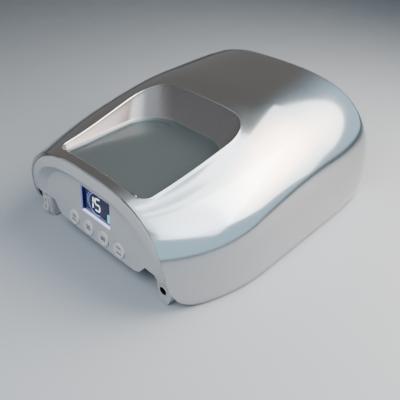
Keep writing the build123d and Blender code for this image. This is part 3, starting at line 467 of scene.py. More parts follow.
# Outer form
@dataclass
class OuterForm:
    """The body's outside as a smooth function of a share round the arch and a station."""

    length: float = 227.0
    half_front: float = 83.0
    half_full: float = 107.0
    full_width_at: float = 73.0
    nose: float = 6.0
    height_front: float = 79.5
    height_full: float = 101.5
    full_height_at: float = 147.0
    belt: float = 18.0
    power: float = 2.9
    tuck: float = 2.2
    bottom: float = 1.5
    skirt_share: float = 0.08
    width_closing: tuple = (163.5, 2.57, 0.846)
    roof_closing: tuple = (207.5, 2.73, 0.65)
    swell: tuple = (-6.0, 43.0)
    brow: tuple = (-1.4, 79.5)
    toe_curve: tuple = ((22.0, 1.49), (6.0, 1.49), (-4.0, 13.49), (-5.0, 29.0))
    toe_steps: int = 200
    widest_share: float = 0.999

    def _closing(self, s: np.ndarray, closing: tuple) -> np.ndarray:
        """Share left where the form rounds off, a superellipse quarter that ends at the tall end.

        Args:
            s: stations in millimetres.
            closing: where it starts, its power, and the share left at its end.

        Returns:
            The share at each station.
        """
        start, power, least = closing
        q = np.clip((s - start) / (self.length - start), 0.0, 1.0)
        return least + (1 - least) * (1 - q**power) ** (1 / power)

    def half_width(self, s: np.ndarray) -> np.ndarray:
        """Half width at the belt: a parabola up to full width, then rounded off.

        Args:
            s: stations in millimetres.

        Returns:
            Half widths in millimetres.
        """
        run = np.clip((self.full_width_at - s) / (self.full_width_at + self.nose), 0.0, 2.0)
        wide = self.half_full - (self.half_full - self.half_front) * run**2
        return wide * self._closing(s, self.width_closing)

    def roof(self, s: np.ndarray) -> np.ndarray:
        """Height on the middle line: half a cosine wave, then rounded off.

        Args:
            s: stations in millimetres.

        Returns:
            Heights in millimetres.
        """
        share = np.clip(s / self.full_height_at, 0.0, 1.0)
        rise = (self.height_full - self.height_front) * (1 - np.cos(np.pi * share)) / 2
        shut = self._closing(s, self.roof_closing)
        return self.belt + (self.height_front + rise - self.belt) * shut

    def point(self, u: np.ndarray, s: np.ndarray) -> np.ndarray:
        """Points of the outside.

        Over the belt, x/a and z/b lie on |x|^p + |z|^p = 1 at a polar angle; under it the side
        draws in with the square of the drop.

        Args:
            u: share round the section, 0 at the right bottom edge and 1 at the left one.
            s: station in millimetres.

        Returns:
            Array of x, y and z in millimetres along a last axis.
        """
        half, top = self.half_width(s), self.roof(s)
        k = self.skirt_share
        angle = np.clip((u - k) / (1 - 2 * k), 0.0, 1.0) * np.pi
        c, n = np.cos(angle), np.sin(angle)
        size = (np.abs(c) ** self.power + np.abs(n) ** self.power) ** (1 / self.power)
        under = np.maximum(np.maximum(k - u, u - (1 - k)), 0.0) / k
        drop = under * (self.belt - self.bottom)
        x = half * c / size
        x = x - np.sign(x) * self.tuck * (drop / self.belt) ** 2
        z = self.belt + (top - self.belt) * n / size - drop
        return np.stack([x, s + FOOT_LINE, z], axis=-1)

    def share_over(self, x: np.ndarray, s: np.ndarray) -> np.ndarray:
        """Share round the section of the roof's point above a place in plan.

        Args:
            x: across, in millimetres.
            s: station in millimetres.

        Returns:
            The share u of point().
        """
        ratio = np.clip(x / self.half_width(s), -self.widest_share, self.widest_share)
        up = (1 - np.abs(ratio) ** self.power) ** (1 / self.power)
        return self.skirt_share + (1 - 2 * self.skirt_share) * np.arctan2(up, ratio) / np.pi

    def nose_line(self, z: np.ndarray) -> np.ndarray:
        """Station of the shell's front edge at each height.

        A circle through the chin, the swell and the brow; under the chin a cubic runs back to the
        toe on the bottom edge.

        Args:
            z: heights in millimetres.

        Returns:
            Stations in millimetres.
        """
        chin = self.toe_curve[-1]
        m = np.array([np.subtract(self.swell, chin), np.subtract(self.brow, chin)])
        r = 0.5 * np.array([m[0] @ np.add(self.swell, chin), m[1] @ np.add(self.brow, chin)])
        centre = np.linalg.solve(m, r)
        radius = np.hypot(*(np.array(chin) - centre))
        over = centre[0] - np.sqrt(np.maximum(radius**2 - (z - centre[1]) ** 2, 0.0))
        t = np.linspace(0, 1, self.toe_steps)
        line = [
            (1 - t) ** 3 * a + 3 * t * (1 - t) ** 2 * b + 3 * t * t * (1 - t) * c + t**3 * d
            for a, b, c, d in zip(*self.toe_curve)
        ]
        under = np.interp(z, line[1], line[0])
        return np.where(z >= chin[1], over, under)


@dataclass
class Shell:
    """The outer shell with its rolled lip and the recess moulded into the roof, as one sheet."""

    form: OuterForm = field(default_factory=OuterForm)
    floor: float = 71.0
    front: float = 6.0
    back: float = 101.5
    half_front: float = 47.0
    half_back: float = 48.0
    radius_front: float = 9.0
    radius_back: float = 30.0
    radius_roof: float = 23.0
    lean_front: float = 0.62
    lean_side: float = 0.32
    lean_back: float = 0.39
    lip: float = 0.9
    rise: float = 0.2
    rise_width: float = 1.2
    hollow_power: float = 1.12
    fillet: float = 2.5
    fillet_reach: float = 2.0
    fillet_share: float = 0.4
    wall_pace: float = 1.3
    thickness: float = 2.4
    level_until: float = 180.0
    even_pace: float = 0.35
    first_ring: float = 0.004
    corner_ways: tuple = ((0.7, -0.72), (0.7, 0.82), (-0.7, 0.82), (-0.7, -0.72))
    border_guess: float = 10.0
    settling: int = 40
    floor_rings: int = 11
    wall_rings: int = 30
    lip_rings: int = 5
    floor_rows: int = 14
    outward: int = 72
    per_corner: int = 28
    per_side: int = 52

    def outline(self, height: float) -> np.ndarray:
        """Rounded outline of the recess in plan at one height.

        Four straight sides are joined by arcs tangent to them. Each side and each arc has a fixed
        number of points, so outlines at two heights match point by point.

        Args:
            height: height in millimetres.

        Returns:
            Points (n, 2) as x and station.
        """
        up = height - self.floor
        share = up / (self.form.height_full - self.floor)
        wide_front = self.half_front + self.lean_front * up
        wide_back = self.half_back + self.lean_side * up
        back = self.back + self.lean_back * up
        radius_back = self.radius_back + (self.radius_roof - self.radius_back) * share
        corners = [
            (wide_front, self.front, self.radius_front), (wide_back, back, radius_back),
            (-wide_back, back, radius_back), (-wide_front, self.front, self.radius_front),
        ]
        arcs: list = []
        for k, (x, y, r) in enumerate(corners):
            before = np.array(corners[k - 1][:2]) - (x, y)
            after = np.array(corners[(k + 1) % 4][:2]) - (x, y)
            before, after = before / np.hypot(*before), after / np.hypot(*after)
            mid = (before + after) / np.hypot(*(before + after))
            half_turn = np.arccos(np.clip(before @ after, -1, 1)) / 2
            centre = np.array([x, y]) + mid * r / np.sin(half_turn)
            facing = []
            for side in (before, after):
                n = np.array([side[1], -side[0]])
                n = n if n @ mid < 0 else -n
                facing.append(np.arctan2(n[1], n[0]))
            turn = (facing[1] - facing[0] + np.pi) % (2 * np.pi) - np.pi
            a = facing[0] + turn * np.linspace(0, 1, self.per_corner)
            arcs.append(centre + r * np.stack([np.cos(a), np.sin(a)], axis=1))
        run: list = []
        steps = np.linspace(0, 1, self.per_side + 2)[1:-1, None]
        for k, arc in enumerate(arcs):
            following = arcs[(k + 1) % 4][0]
            run += [arc, arc[-1] + (following - arc[-1]) * steps]
        return np.concatenate(run)

    def rim_line(self) -> tuple[np.ndarray, np.ndarray, np.ndarray]:
        """Where the walls of the recess meet the roof.

        Returns:
            The line's points (n, 2) in plan, its heights (n,), and its outward normals (n, 2).
        """
        low, high = self.outline(self.floor), self.outline(self.form.height_full)
        share = np.full(len(low), 0.5)
        for _ in range(self.settling):
            line = low + (high - low) * share[:, None]
            height = self.form.point(self.form.share_over(line[:, 0], line[:, 1]), line[:, 1])[:, 2]
            share = (height - self.floor) / (self.form.height_full - self.floor)
        along = np.roll(line, -1, axis=0) - np.roll(line, 1, axis=0)
        normal = np.stack([along[:, 1], -along[:, 0]], axis=1)
        return line, height, normal / np.hypot(normal[:, 0], normal[:, 1])[:, None]

    def stretched(self, v: np.ndarray) -> np.ndarray:
        """Station from an even parameter: equal to it at first, then a sine up to the tall end.

        Args:
            v: even parameters.

        Returns:
            Stations in millimetres.
        """
        start, run = self.level_until, self.form.length - self.level_until
        past = np.clip((v - start) / run, 0.0, np.pi / 2)
        return np.where(v < start, v, start + run * np.sin(past))

    def unstretched(self, s: np.ndarray) -> np.ndarray:
        """Even parameter of a station, the inverse of stretched().

        Args:
            s: stations in millimetres.

        Returns:
            Even parameters.
        """
        start, run = self.level_until, self.form.length - self.level_until
        past = np.arcsin(np.clip((s - start) / run, 0.0, 1.0))
        return np.where(s < start, s, start + run * past)

    def edge(self, count: int) -> np.ndarray:
        """Outer border of the sheet in (u, v): right side, tall end, left side, front edge.

        Each of the four legs takes the border points whose rays from the recess's middle fall
        between two corner directions, spread evenly over it by angle.

        Args:
            count: number of border points.

        Returns:
            Border points (count, 2), one for each point of the recess's outline, in its order.
        """
        last = float(self.unstretched(np.array(self.form.length)))
        side_steps, end_steps, front_steps, rounds = 300, 600, 1200, 30
        u = np.linspace(0, 1, front_steps)
        s = np.full_like(u, self.border_guess)
        for _ in range(rounds):
            z = self.form.point(u, s)[:, 2]
            s = 0.5 * s + 0.5 * self.form.nose_line(z)
        toe = s[0]
        legs = [
            np.stack([np.zeros(side_steps), np.linspace(toe, last, side_steps)], axis=1),
            np.stack([np.linspace(0, 1, end_steps), np.full(end_steps, last)], axis=1),
            np.stack([np.ones(side_steps), np.linspace(last, toe, side_steps)], axis=1),
            np.stack([u[::-1], s[::-1]], axis=1),
        ]
        even = self.rim_line()[0]
        centre_s = (self.front + self.back) / 2
        turn = np.unwrap(np.arctan2(even[:, 1] - centre_s, even[:, 0]))
        across, along = np.transpose(self.corner_ways)
        marks = np.unwrap(np.arctan2(along, across))
        marks = marks + 2 * np.pi * np.round((turn[0] - marks[0]) / (2 * np.pi))
        turn = np.where(turn < marks[0], turn + 2 * np.pi, turn)
        out = np.zeros((count, 2))
        for k, leg in enumerate(legs):
            a = marks[k]
            b = marks[k + 1] if k < 3 else marks[0] + 2 * np.pi
            inside = (turn >= a) & (turn < b) if k < 3 else turn >= a
            share = (turn[inside] - a) / (b - a)
            steps = np.linspace(0, 1, len(leg))
            out[inside] = np.stack([np.interp(share, steps, leg[:, i]) for i in (0, 1)], 1)
        return out

    @staticmethod
    def _ring(ring: np.ndarray, height: np.ndarray | float) -> np.ndarray:
        """Row of points in millimetres from their x, their station and their height."""
        z = np.broadcast_to(height, len(ring))
        return np.column_stack([ring[:, 0], ring[:, 1] + FOOT_LINE, z])

    def build(self) -> list[Piece]:
        """Make the shell: floor, fillet, wall, lip and outside as rings of one closed grid.

        Returns:
            The shell alone, with its wall thickness as a modifier.
        """
        even, roof, normal = self.rim_line()
        border = self.edge(len(even))
        middle = np.array([0.0, (self.front + self.back) / 2])
        rim = even + normal * self.lip
        rim_u = self.form.share_over(rim[:, 0], rim[:, 1])
        start = np.stack([rim_u, self.unstretched(rim[:, 1])], axis=1)
        base_top = self.form.point(rim_u, rim[:, 1])
        rows: list[np.ndarray] = []
        foot = self.outline(self.floor)
        wall_top = roof + self.rise - self.lip
        deep = wall_top - self.floor
        fillet = np.minimum(self.fillet, deep * self.fillet_share)
        flat = foot - normal * self.fillet_reach
        for k in np.linspace(0, 1, self.floor_rings + 1)[:-1]:
            rows.append(self._ring(middle + (flat - middle) * max(k, self.first_ring), self.floor))
        for k in np.linspace(0, 1, self.wall_rings):
            level = self.floor + deep * k**self.wall_pace
            out = 1 - (1 - (level - self.floor) / deep) ** self.hollow_power
            sink = np.clip(1 - (level - self.floor) / fillet, 0.0, 1.0) ** 2
            ring = foot + (even - foot) * out[:, None]
            rows.append(self._ring(ring - normal * (self.fillet_reach * sink)[:, None], level))
        for a in np.linspace(0, np.pi / 2, self.lip_rings + 2)[1:-1]:
            ring = even + normal * self.lip * (1 - np.cos(a))
            rows.append(self._ring(ring, wall_top + self.lip * np.sin(a)))
        inner_rows = len(rows) - self.lip_rings + 1
        for k in np.linspace(0, 1, self.outward):
            pace = self.even_pace * k + (1 - self.even_pace) * (1 - np.cos(np.pi * k)) / 2
            uv = start + (border - start) * pace
            pts = self.form.point(uv[:, 0], self.stretched(uv[:, 1]))
            away = np.linalg.norm(pts - base_top, axis=1)
            pts[:, 2] += self.rise * np.exp(-((away / self.rise_width) ** 2))
            rows.append(pts)
        points = np.concatenate(rows)
        faces = grid_faces(len(rows), len(even), True)
        centre = np.array([[middle[0], middle[1] + FOOT_LINE, self.floor]])
        i = np.arange(len(even))
        cap = np.stack([i, (i + 1) % len(even), np.full_like(i, len(points))], axis=1)
        all_faces = faces[:, ::-1].tolist() + cap.tolist()
        shell = piece_from("shell_skin", np.vstack([points, centre]), all_faces)
        thick = shell.modifiers.new("wall", "SOLIDIFY")
        thick.thickness = self.thickness * MM
        thick.offset = -1.0
        thick.use_rim = True
        dress(shell, PEARL)
        # Painted shade: slot 1 darkens the recess floor and its cap, slot 2 darkens the recess
        # walls
        shell.data.materials.append(RECESS_FLOOR_SHADE.material())
        shell.data.materials.append(RECESS_WALL_SHADE.material())
        # Painted shade slots: the wall rows take slot 2, the floor rows and the centre cap take
        # slot 1
        number = np.zeros(len(all_faces), dtype=np.int32)
        number[: (inner_rows - 1) * len(even)] = 2
        number[: self.floor_rows * len(even)] = 1
        number[len(faces):] = 1
        shell.data.polygons.foreach_set("material_index", number)
        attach(shell, "body")
        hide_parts("outer_shell")
        return [shell]


# Control end
@dataclass
class PanelPlane:
    """The leaning control panel: where a place on it lies in the row frame."""

    lean: float = 5.6
    row_height: float = 24.4
    set_forward: float = 2.5

    def place(self, across: np.ndarray, up: np.ndarray, out: np.ndarray | float) -> np.ndarray:
        """Points from across, up the panel from the button row and out of its face.

        Args:
            across: distances from the middle to the right, in millimetres.
            up: distances up the leaning panel from the button row.
            out: distance out of its face, one for all or one each.

        Returns:
            Array of x, y and z in millimetres along a last axis.
        """
        c, s = np.cos(np.radians(self.lean)), np.sin(np.radians(self.lean))
        x = np.asarray(across, dtype=float)
        up = np.asarray(up, dtype=float)
        out = np.broadcast_to(np.asarray(out, dtype=float), x.shape)
        y = FOOT_LINE - self.set_forward + up * s - out * c
        z = self.row_height + up * c + out * s
        return np.stack([x, y, z], axis=-1)

    def plates(self, name: str, loops: list, finish: Finish, front: float, thick: float) -> Piece:
        """Make one thin piece from closed loops on the panel, each loop a separate plate.

        Args:
            name: the piece's name.
            loops: closed loops (n, 2) of across and up, counted anticlockwise.
            finish: the piece's finish.
            front: how far out of the panel the plates' fronts lie.
            thick: their thickness.

        Returns:
            The piece, dressed.
        """
        points, faces, base = [], [], 0
        for loop in loops:
            n = len(loop)
            points += [self.place(loop[:, 0], loop[:, 1], out) for out in (front, front - thick)]
            i = np.arange(n)
            j = (i + 1) % n
            sides = np.stack([i, n + i, n + j, j], axis=1)
            faces += [base + i, base + 2 * n - 1 - i, *(base + sides)]
            base += 2 * n
        piece = piece_from(name, np.concatenate(points), faces, smooth=False)
        dress(piece, finish)
        return piece


@dataclass
class Display:
    """Lit marks of the display and the glowing edge of its window.

    Places and sizes are in millimetres, across from the middle and up from the window's middle.
    A ring gives its radius, width and two angles; a digit its value, left edge and width; the
    cell its left, foot, width and height; its cap left, right and height; a lining its name,
    sides, finish, front and rear.
    """

    plane: PanelPlane = field(default_factory=PanelPlane)
    middle: float = 23.6
    width: float = 35.5
    height: float = 23.0
    face: float = -3.30
    thick: float = 0.04
    ring_centre: tuple = (-2.6, -0.4)
    rings: tuple = ((9.3, 0.5, 60, 300), (11.0, 0.3, 95, 215))
    ring_steps: int = 60
    digits: tuple = (("1", -11.0, 4.4), ("5", -4.0, 5.6))
    digit_foot: float = -5.4
    digit_height: float = 10.6
    stroke: float = 0.95
    gap: float = 0.25
    slant: float = 0.05
    cell: tuple = (11.0, -9.2, 5.2, 6.8)
    cell_cap: tuple = (1.5, 3.1, 0.8)
    bar_inset: float = 0.6
    bar_foot: float = 0.7
    bar_high: float = 1.2
    bar_pitch: float = 1.9
    bars: int = 3
    clearance: float = 0.02
    lining: float = 0.25
    lining_lip: float = 0.1
    linings: tuple = (
        ("window_foot_light", (0,), GLOW_EDGE, -0.25, -2.56),
        ("window_side_light", (1, 2, 3), GLOW_SIDE, -0.25, -1.10),
        ("window_side_shade", (1, 2, 3), SHADE, -1.12, -2.56),
    )

    def segment(self, x0: float, y0: float, x1: float, y1: float, wide: float) -> np.ndarray:
        """Six-sided bar from one point to another, pointed at both ends.

        Args:
            x0: across at its start.
            y0: up at its start.
            x1: across at its end.
            y1: up at its end.
            wide: its width.

        Returns:
            Loop (6, 2), anticlockwise.
        """
        a, b = np.array([x0, y0]), np.array([x1, y1])
        d = (b - a) / np.hypot(*(b - a))
        n = np.array([-d[1], d[0]]) * wide / 2
        h = wide / 2
        return np.array([a, a + d * h - n, b - d * h - n, b, b - d * h + n, a + d * h + n])

    def digit(self, value: str, x: float, y: float, w: float, h: float) -> list[np.ndarray]:
        """Segments of a slanted digit.

        Args:
            value: the digit, 1 or 5.
            x: its left edge.
            y: its bottom edge.
            w: its width.
            h: its height.

        Returns:
            Loops of the lit segments; each point moves right by a share of its height.
        """
        g = self.gap
        bars = {
            "top": (g, h, w - g, h), "upper right": (w, h - g, w, h / 2 + g),
            "lower right": (w, h / 2 - g, w, g), "foot": (g, 0, w - g, 0),
            "upper left": (0, h / 2 + g, 0, h - g), "middle": (g, h / 2, w - g, h / 2),
        }
        lit = {
            "1": ("upper right", "lower right"),
            "5": ("top", "upper left", "middle", "lower right", "foot"),
        }
        loops = []
        for key in lit[value]:
            loop = self.segment(*bars[key], self.stroke)
            loop[:, 0] += self.slant * loop[:, 1]
            loops.append(loop + (x, y))
        return loops

    def arc(
        self, radius: float, wide: float, start: float, stop: float, centre: tuple
    ) -> np.ndarray:
        """Closed loop round a circular band: out along its outer edge, back along its inner one.

        Args:
            radius: radius of the band's middle.
            wide: its width.
            start: angle at its start, in degrees.
            stop: angle at its end.
            centre: across and up of its centre.

        Returns:
            Loop (n, 2), anticlockwise.
        """
        a = np.radians(np.linspace(start, stop, self.ring_steps))
        outer = np.stack([np.cos(a), np.sin(a)], 1) * (radius + wide / 2)
        inner = np.stack([np.cos(a[::-1]), np.sin(a[::-1])], 1) * (radius - wide / 2)
        return np.vstack([outer, inner]) + centre

    def build(self) -> list[Piece]:
        """Make the ring round the time, the digits, the battery symbol and the lit window edge.

        Returns:
            The pieces.
        """
        m = self.middle
        centre = (self.ring_centre[0], m + self.ring_centre[1])
        digits: list[np.ndarray] = []
        for value, left, wide in self.digits:
            digits += self.digit(value, left, m + self.digit_foot, wide, self.digit_height)
        x, y, wide, high = self.cell
        y += m
        cap_left, cap_right, cap_high = self.cell_cap
        cell = [
            rectangle(x, y, x + wide, y + high),
            rectangle(x + cap_left, y + high, x + cap_right, y + high + cap_high),
        ]
        left, right = x + self.bar_inset, x + wide - self.bar_inset
        feet = [y + self.bar_foot + k * self.bar_pitch for k in range(self.bars)]
        bars = [rectangle(left, foot, right, foot + self.bar_high) for foot in feet]
        rings = [self.arc(*ring, centre) for ring in self.rings]
        shown = (
            ("display_ring", rings, GLOW_BLUE, self.face),
            ("display_digits", digits, GLOW_WHITE, self.face),
            ("display_battery", cell, GLOW_CYAN, self.face),
            ("display_battery_bars", bars, GLOW_DEEP, self.face + self.thick),
        )
        pieces = [self.plane.plates(*plate, self.thick) for plate in shown]
        for piece in pieces:
            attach(piece, "body")
        return pieces + [self._edge(*lining) for lining in self.linings]

    def _edge(self, name: str, sides: tuple, finish: Finish, front: float, rear: float) -> Piece:
        """Make one part of the window's lining, strips whose inner faces look into the opening.

        Args:
            name: the piece's name.
            sides: the window's sides that it lines: 0 the foot, then anticlockwise.
            finish: its finish.
            front: how far out of the panel its front lies.
            rear: how far out its rear lies.

        Returns:
            The piece.
        """
        w, h, m = self.width / 2 - self.clearance, self.height / 2 - self.clearance, self.middle
        t = self.lining
        outer = rectangle(-w, m - h, w, m + h)
        inner = rectangle(-w + t, m - h + t, w - t, m + h - t)
        rings = [(outer, front), (inner, front - self.lining_lip), (inner, rear), (outer, rear)]
        points, faces = [], []
        for side in sides:
            ends = [side, (side + 1) % 4]
            base = len(points) * 2
            points += [self.plane.place(r[ends, 0], r[ends, 1], out) for r, out in rings]
            for k in range(4):
                a, b = base + 2 * k, base + 2 * ((k + 1) % 4)
                faces.append((a, a + 1, b + 1, b))
            faces += [tuple(base + c for c in cap) for cap in ((0, 2, 4, 6), (7, 5, 3, 1))]
        piece = piece_from(name, np.concatenate(points), faces, smooth=False)
        dress(piece, finish)
        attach(piece, "body")
        return piece


@dataclass
class ButtonMarks:
    """Printed marks: plain numbers on the buttons, and the two rocker marks.

    The bar gives its half width, its foot and its top; all sizes are in millimetres.
    """

    plane: PanelPlane = field(default_factory=PanelPlane)
    pitch: float = 18.9
    numbers: tuple = ("10", "30", "60", "99")
    size: float = 5.6
    proud: float = 0.92
    outer_share: float = 0.86
    outer_up: float = 1.3
    bar: tuple = (2.9, -3.2, -1.9)
    half_ink: float = 0.02
    bolder: float = 0.17
    rocker_size: float = 4.4
    rocker_place: float = 3.2
    rocker_x: float = -73.6
    rocker_height: float = 13.6
    rocker_pivot: float = 0.2
    rocker_face: float = 3.0
    rocker_swing: float = 10.0

    def _outlined(self, name: str, word: str, size: float) -> tuple[bpy.types.Mesh, np.ndarray]:
        """Flat word as a mesh; the text that it was made from is removed again.

        Args:
            name: name of the new mesh.
            word: what it says.
            size: letter size in millimetres.

        Returns:
            The mesh, and its points in millimetres.
        """
        curve = bpy.data.curves.new(f"{name}_curve", "FONT")
        curve.body = word
        curve.size = size * MM
        curve.offset = self.bolder * MM
        curve.align_x = "CENTER"
        curve.align_y = "CENTER"
        curve.extrude = self.half_ink * MM
        maker = bpy.data.objects.new(f"{name}_maker", curve)
        bpy.context.scene.collection.objects.link(maker)
        bpy.context.view_layer.update()
        mesh = bpy.data.meshes.new_from_object(maker)
        mesh.name = name
        bpy.data.objects.remove(maker)
        flat = np.empty(len(mesh.vertices) * 3)
        mesh.vertices.foreach_get("co", flat)
        return mesh, flat.reshape(-1, 3) / MM

    @staticmethod
    def _finished(
        name: str, mesh: bpy.types.Mesh, points: np.ndarray, body: str, slot: str
    ) -> Piece:
        """Place a mark's mesh, dress it and let it ride with its body.

        Args:
            name: the mark's name.
            mesh: its mesh.
            points: where the mesh's points go, in millimetres.
            body: the body that it rides on.
            slot: not used.

        Returns:
            The mark.
        """
        mesh.vertices.foreach_set("co", (points * MM).ravel())
        mesh.update()
        obj = bpy.data.objects.new(name, mesh)
        bpy.context.scene.collection.objects.link(obj)
        dress(obj, MARK)
        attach(obj, body)
        return obj

    def build(self) -> list[Piece]:
        """Make one mark for each button, a bar under the outer two, and the rocker's O and I.

        Returns:
            The marks and bars.
        """
        marks: list[Piece] = []
        for k, word in enumerate(self.numbers):
            outer = k in (0, 3)
            name, size = f"button_mark_{k + 1}", self.size * (self.outer_share if outer else 1.0)
            mesh, flat = self._outlined(name, word, size)
            middle = (k - 1.5) * self.pitch
            up = flat[:, 1] + (self.outer_up if outer else 0.0)
            placed = self.plane.place(flat[:, 0] + middle, up, flat[:, 2] + self.proud)
            marks.append(self._finished(name, mesh, placed, f"press_{k + 1}", "button_grey"))
            if outer:
                marks.append(self._bar(k, middle))
        return marks + [self._rocker_mark("O", -1.0), self._rocker_mark("I", 1.0)]

    def _bar(self, k: int, middle: float) -> Piece:
        """Make the short bar under the number of an outer button.

        Args:
            k: the button, counted from 0.
            middle: across of the button's middle.

        Returns:
            The bar.
        """
        wide, low, high = self.bar
        loop = rectangle(middle - wide, low, middle + wide, high)
        front, thick = self.proud + self.half_ink, 2 * self.half_ink
        bar = self.plane.plates(f"button_bar_{k + 1}", [loop], MARK, front, thick)
        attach(bar, f"press_{k + 1}")
        return bar

    def _rocker_mark(self, word: str, way: float) -> Piece:
        """Make a mark on the upper or lower half of the rocker's face, which lies back at rest.

        Args:
            word: the mark.
            way: 1 for the upper half and -1 for the lower half.

        Returns:
            The mark.
        """
        name = f"rocker_mark_{word.lower()}"
        mesh, flat = self._outlined(name, word, self.rocker_size)
        lean = np.radians(self.rocker_swing)
        up = flat[:, 1] + way * self.rocker_place
        out = self.rocker_face + np.abs(up) * np.tan(lean) + flat[:, 2] + self.half_ink
        y, z = -out, up
        turned_y = y * np.cos(-lean) - z * np.sin(-lean)
        turned_z = y * np.sin(-lean) + z * np.cos(-lean)
        x = flat[:, 0] + self.rocker_x
        y, z = FOOT_LINE + self.rocker_pivot + turned_y, self.rocker_height + turned_z
        return self._finished(name, mesh, np.stack([x, y, z], axis=-1), "rocker", "rocker_grey")


# Studio
@dataclass(frozen=True)
class Softbox:
    """One soft rectangular light: its middle, the way its back faces, its upright and its size."""

    name: str
    centre: tuple
    normal: tuple
    up: tuple
    size: tuple
    radiance: float
    core: Colour = (1.0, 1.0, 1.0)
    edge: Colour = (1.0, 1.0, 1.0)
    core_share: float = 1.65
    edge_share: float = 0.45
    edge_at: float = 0.62
    shines: bool = True
    fills: bool = True


KEY_NORMAL, KEY_UP = (0.377, 0.685, 0.624), (0.362, -0.729, 0.581)
KEY_UPRIGHT, KEY_ASLANT = (0.309, -0.728, 0.612), (-0.202, -0.596, 0.776)
WARM, PALE, COOL = (1.0, 0.80, 0.66), (0.88, 0.90, 1.0), (0.66, 0.90, 1.0)
# Each light gives its name, middle, facing, upright, size in millimetres, radiance, and its tints
# and shares of that radiance in the middle and at the edge
SOFTBOXES = (
    Softbox("softbox_key", (287, 218, 394), KEY_NORMAL, KEY_UP, (700, 495), 11.5, WARM, COOL),
    Softbox("softbox_far", (496, -8, 520), KEY_NORMAL, KEY_ASLANT, (650, 400), 4.6,
            PALE, PALE, 1.1, 0.85, fills=False),
    Softbox("softbox_cool", (262, 25, 631), KEY_NORMAL, KEY_UPRIGHT, (980, 497), 2.1,
            COOL, COOL, 1.1, 0.9, fills=False),
    Softbox("softbox_wing", (-42, 160, 657), KEY_NORMAL, KEY_UPRIGHT, (145, 185), 5.8,
            PALE, PALE, 1.05, 0.9, fills=False),
    Softbox("front_fill", (140, -420, 560), (0.1, -0.4, 1.0), (0, 1, 0), (500, 500), 7.0,
            shines=False),
)


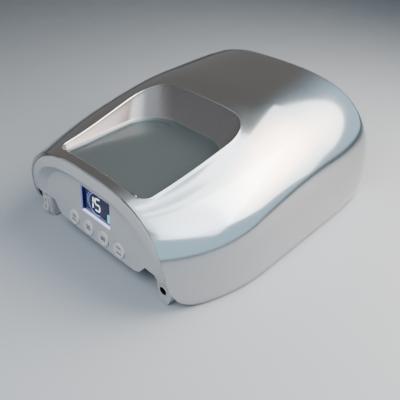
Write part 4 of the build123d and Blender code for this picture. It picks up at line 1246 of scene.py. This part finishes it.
@dataclass
class Studio:
    """Plain pale floor, soft lights and the camera at the photograph's viewing angle."""

    camera_at: tuple = (266.2, -270.0, 282.0)
    looks_at: tuple = (42.14, -42.25, 40.0)
    lens: float = 46.11
    boxes: tuple = SOFTBOXES
    bright_way: tuple = (0.966, 0.259, 0.0)
    bright_span: tuple = (-0.25, 0.25)
    dark_side: Colour = (0.215, 0.213, 0.208)
    bright_side: Colour = (0.84, 1.20, 1.46)
    overhead: Colour = (0.50, 0.55, 0.57)
    overhead_span: tuple = (0.66, 0.90)
    spill: float = 0.03
    reach: float = 2500.0
    table_tones: tuple = ((0.318, 0.367, 0.420), (0.308, 0.357, 0.410))

    def camera(self) -> None:
        """Create the camera, looking along the photograph's line of sight with no roll."""
        data = bpy.data.cameras.new("camera")
        data.lens = self.lens
        data.sensor_width = 36.0
        data.clip_start = 0.01
        data.clip_end = 50.0
        cam = bpy.data.objects.new("camera", data)
        cam.location = Vector(self.camera_at) * MM
        aim = Vector(self.looks_at) * MM - cam.location
        cam.rotation_euler = aim.to_track_quat("-Z", "Y").to_euler()
        bpy.context.scene.collection.objects.link(cam)
        bpy.context.scene.camera = cam

    def floor(self) -> None:
        """Make the pale table, a wide flat sheet with a faint grain and a painted glow far off."""
        flat = rectangle(-self.reach, -self.reach, self.reach, self.reach)
        corners = np.column_stack([flat, np.zeros(4)])
        table = piece_from("table", corners, [(0, 1, 2, 3)], smooth=False)
        dress(table, TableFinish("table_top", *self.table_tones, 0.45, 0.6, 300.0, 0.02, drift=2.0))

    @staticmethod
    def hang(box: Softbox) -> None:
        """Hang one soft rectangular light, brightest in its middle.

        Its radiance times its area times pi is the power that Blender asks for. Its own nodes let
        the radiance and tint fall smoothly from the middle to the corners.

        Args:
            box: where the light hangs and what it gives.
        """
        wide, high = box.size[0] * MM, box.size[1] * MM
        data = bpy.data.lights.new(box.name, "AREA")
        data.shape = "RECTANGLE"
        data.size, data.size_y = wide, high
        data.energy = box.radiance * np.pi * wide * high
        data.use_nodes = True
        tree = data.node_tree
        glow = tree.nodes["Emission"]
        place = node(tree, "NewGeometry")
        away = node(tree, "VectorMath", {1: (0.5, 0.5, 0.0)}, operation="DISTANCE")
        shares = {"From Max": box.edge_at, "To Min": box.core_share, "To Max": box.edge_share}
        fall = node(tree, "MapRange", shares, interpolation_type="SMOOTHSTEP")
        mix = node(tree, "Mix", {"A": (*box.edge, 1), "B": (*box.core, 1)}, data_type="RGBA")
        join(
            tree, (place, "Parametric", away, 0), (away, "Value", fall, "Value"),
            (fall, "Result", glow, "Strength"), (fall, "Result", mix, "Factor"),
            (mix, "Result", glow, "Color"),
        )
        lamp = bpy.data.objects.new(box.name, data)
        out = Vector(box.normal).normalized()
        up = Vector(box.up)
        up = (up - out * up.dot(out)).normalized()
        turn = Matrix((up.cross(out), up, out)).transposed()
        lamp.location = Vector(box.centre) * MM
        lamp.rotation_euler = turn.to_euler()
        lamp.visible_glossy = box.shines
        lamp.visible_diffuse = box.fills
        bpy.context.scene.collection.objects.link(lamp)

    def world(self) -> None:
        """Light the room: dim on the left, cool and brighter on the right, an even grey overhead.

        The room shows in glossy surfaces at full strength and lights matt ones only faintly.
        """
        world = bpy.data.worlds.new("room")
        world.use_nodes = True
        bpy.context.scene.world = world
        tree = world.node_tree
        back = tree.nodes["Background"]
        coord = node(tree, "TexCoord")
        across = node(tree, "VectorMath", {1: self.bright_way}, operation="DOT_PRODUCT")
        spans = ({"From Min": a, "From Max": b} for a, b in (self.bright_span, self.overhead_span))
        side, over = (node(tree, "MapRange", s, interpolation_type="SMOOTHSTEP") for s in spans)
        sides = {"A": (*self.dark_side, 1), "B": (*self.bright_side, 1)}
        mix = node(tree, "Mix", sides, data_type="RGBA")
        split = node(tree, "SeparateXYZ")
        roof = node(tree, "Mix", {"B": (*self.overhead, 1)}, data_type="RGBA")
        path = node(tree, "LightPath")
        soft = node(tree, "MapRange", {"To Min": 1.0, "To Max": self.spill})
        join(
            tree, (coord, "Generated", across, 0), (across, "Value", side, "Value"),
            (side, "Result", mix, "Factor"), (coord, "Generated", split, "Vector"),
            (split, "Z", over, "Value"), (over, "Result", roof, "Factor"),
            (mix, "Result", roof, "A"), (roof, "Result", back, "Color"),
            (path, "Is Diffuse Ray", soft, "Value"), (soft, "Result", back, "Strength"),
        )

    def build(self) -> None:
        """Set up the whole studio."""
        self.camera()
        self.floor()
        self.world()
        for box in self.boxes:
            self.hang(box)


def dress_nodes(frame: dict) -> None:
    """Give every CAD node its own finish.
    """
    for name, obj in frame["nodes"].items():
        key = max((k for k in NODE_FINISH if name.startswith(k)), key=len)
        dress(obj, NODE_FINISH[key])
        log.info("node %s wears %s", name, NODE_FINISH[key].name)


def main() -> None:
    """Build the lamp's looks in order, with the studio first, and report each piece."""
    logging.basicConfig(level=logging.INFO, format="%(name)s %(message)s")
    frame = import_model()
    Studio().build()
    dress_nodes(frame)
    for maker in (Shell(), Display(), ButtonMarks()):
        for piece in maker.build():
            log.info("piece %s wears %s", piece.name, piece.data.materials[0].name)


if __name__ == "__main__":
    main()
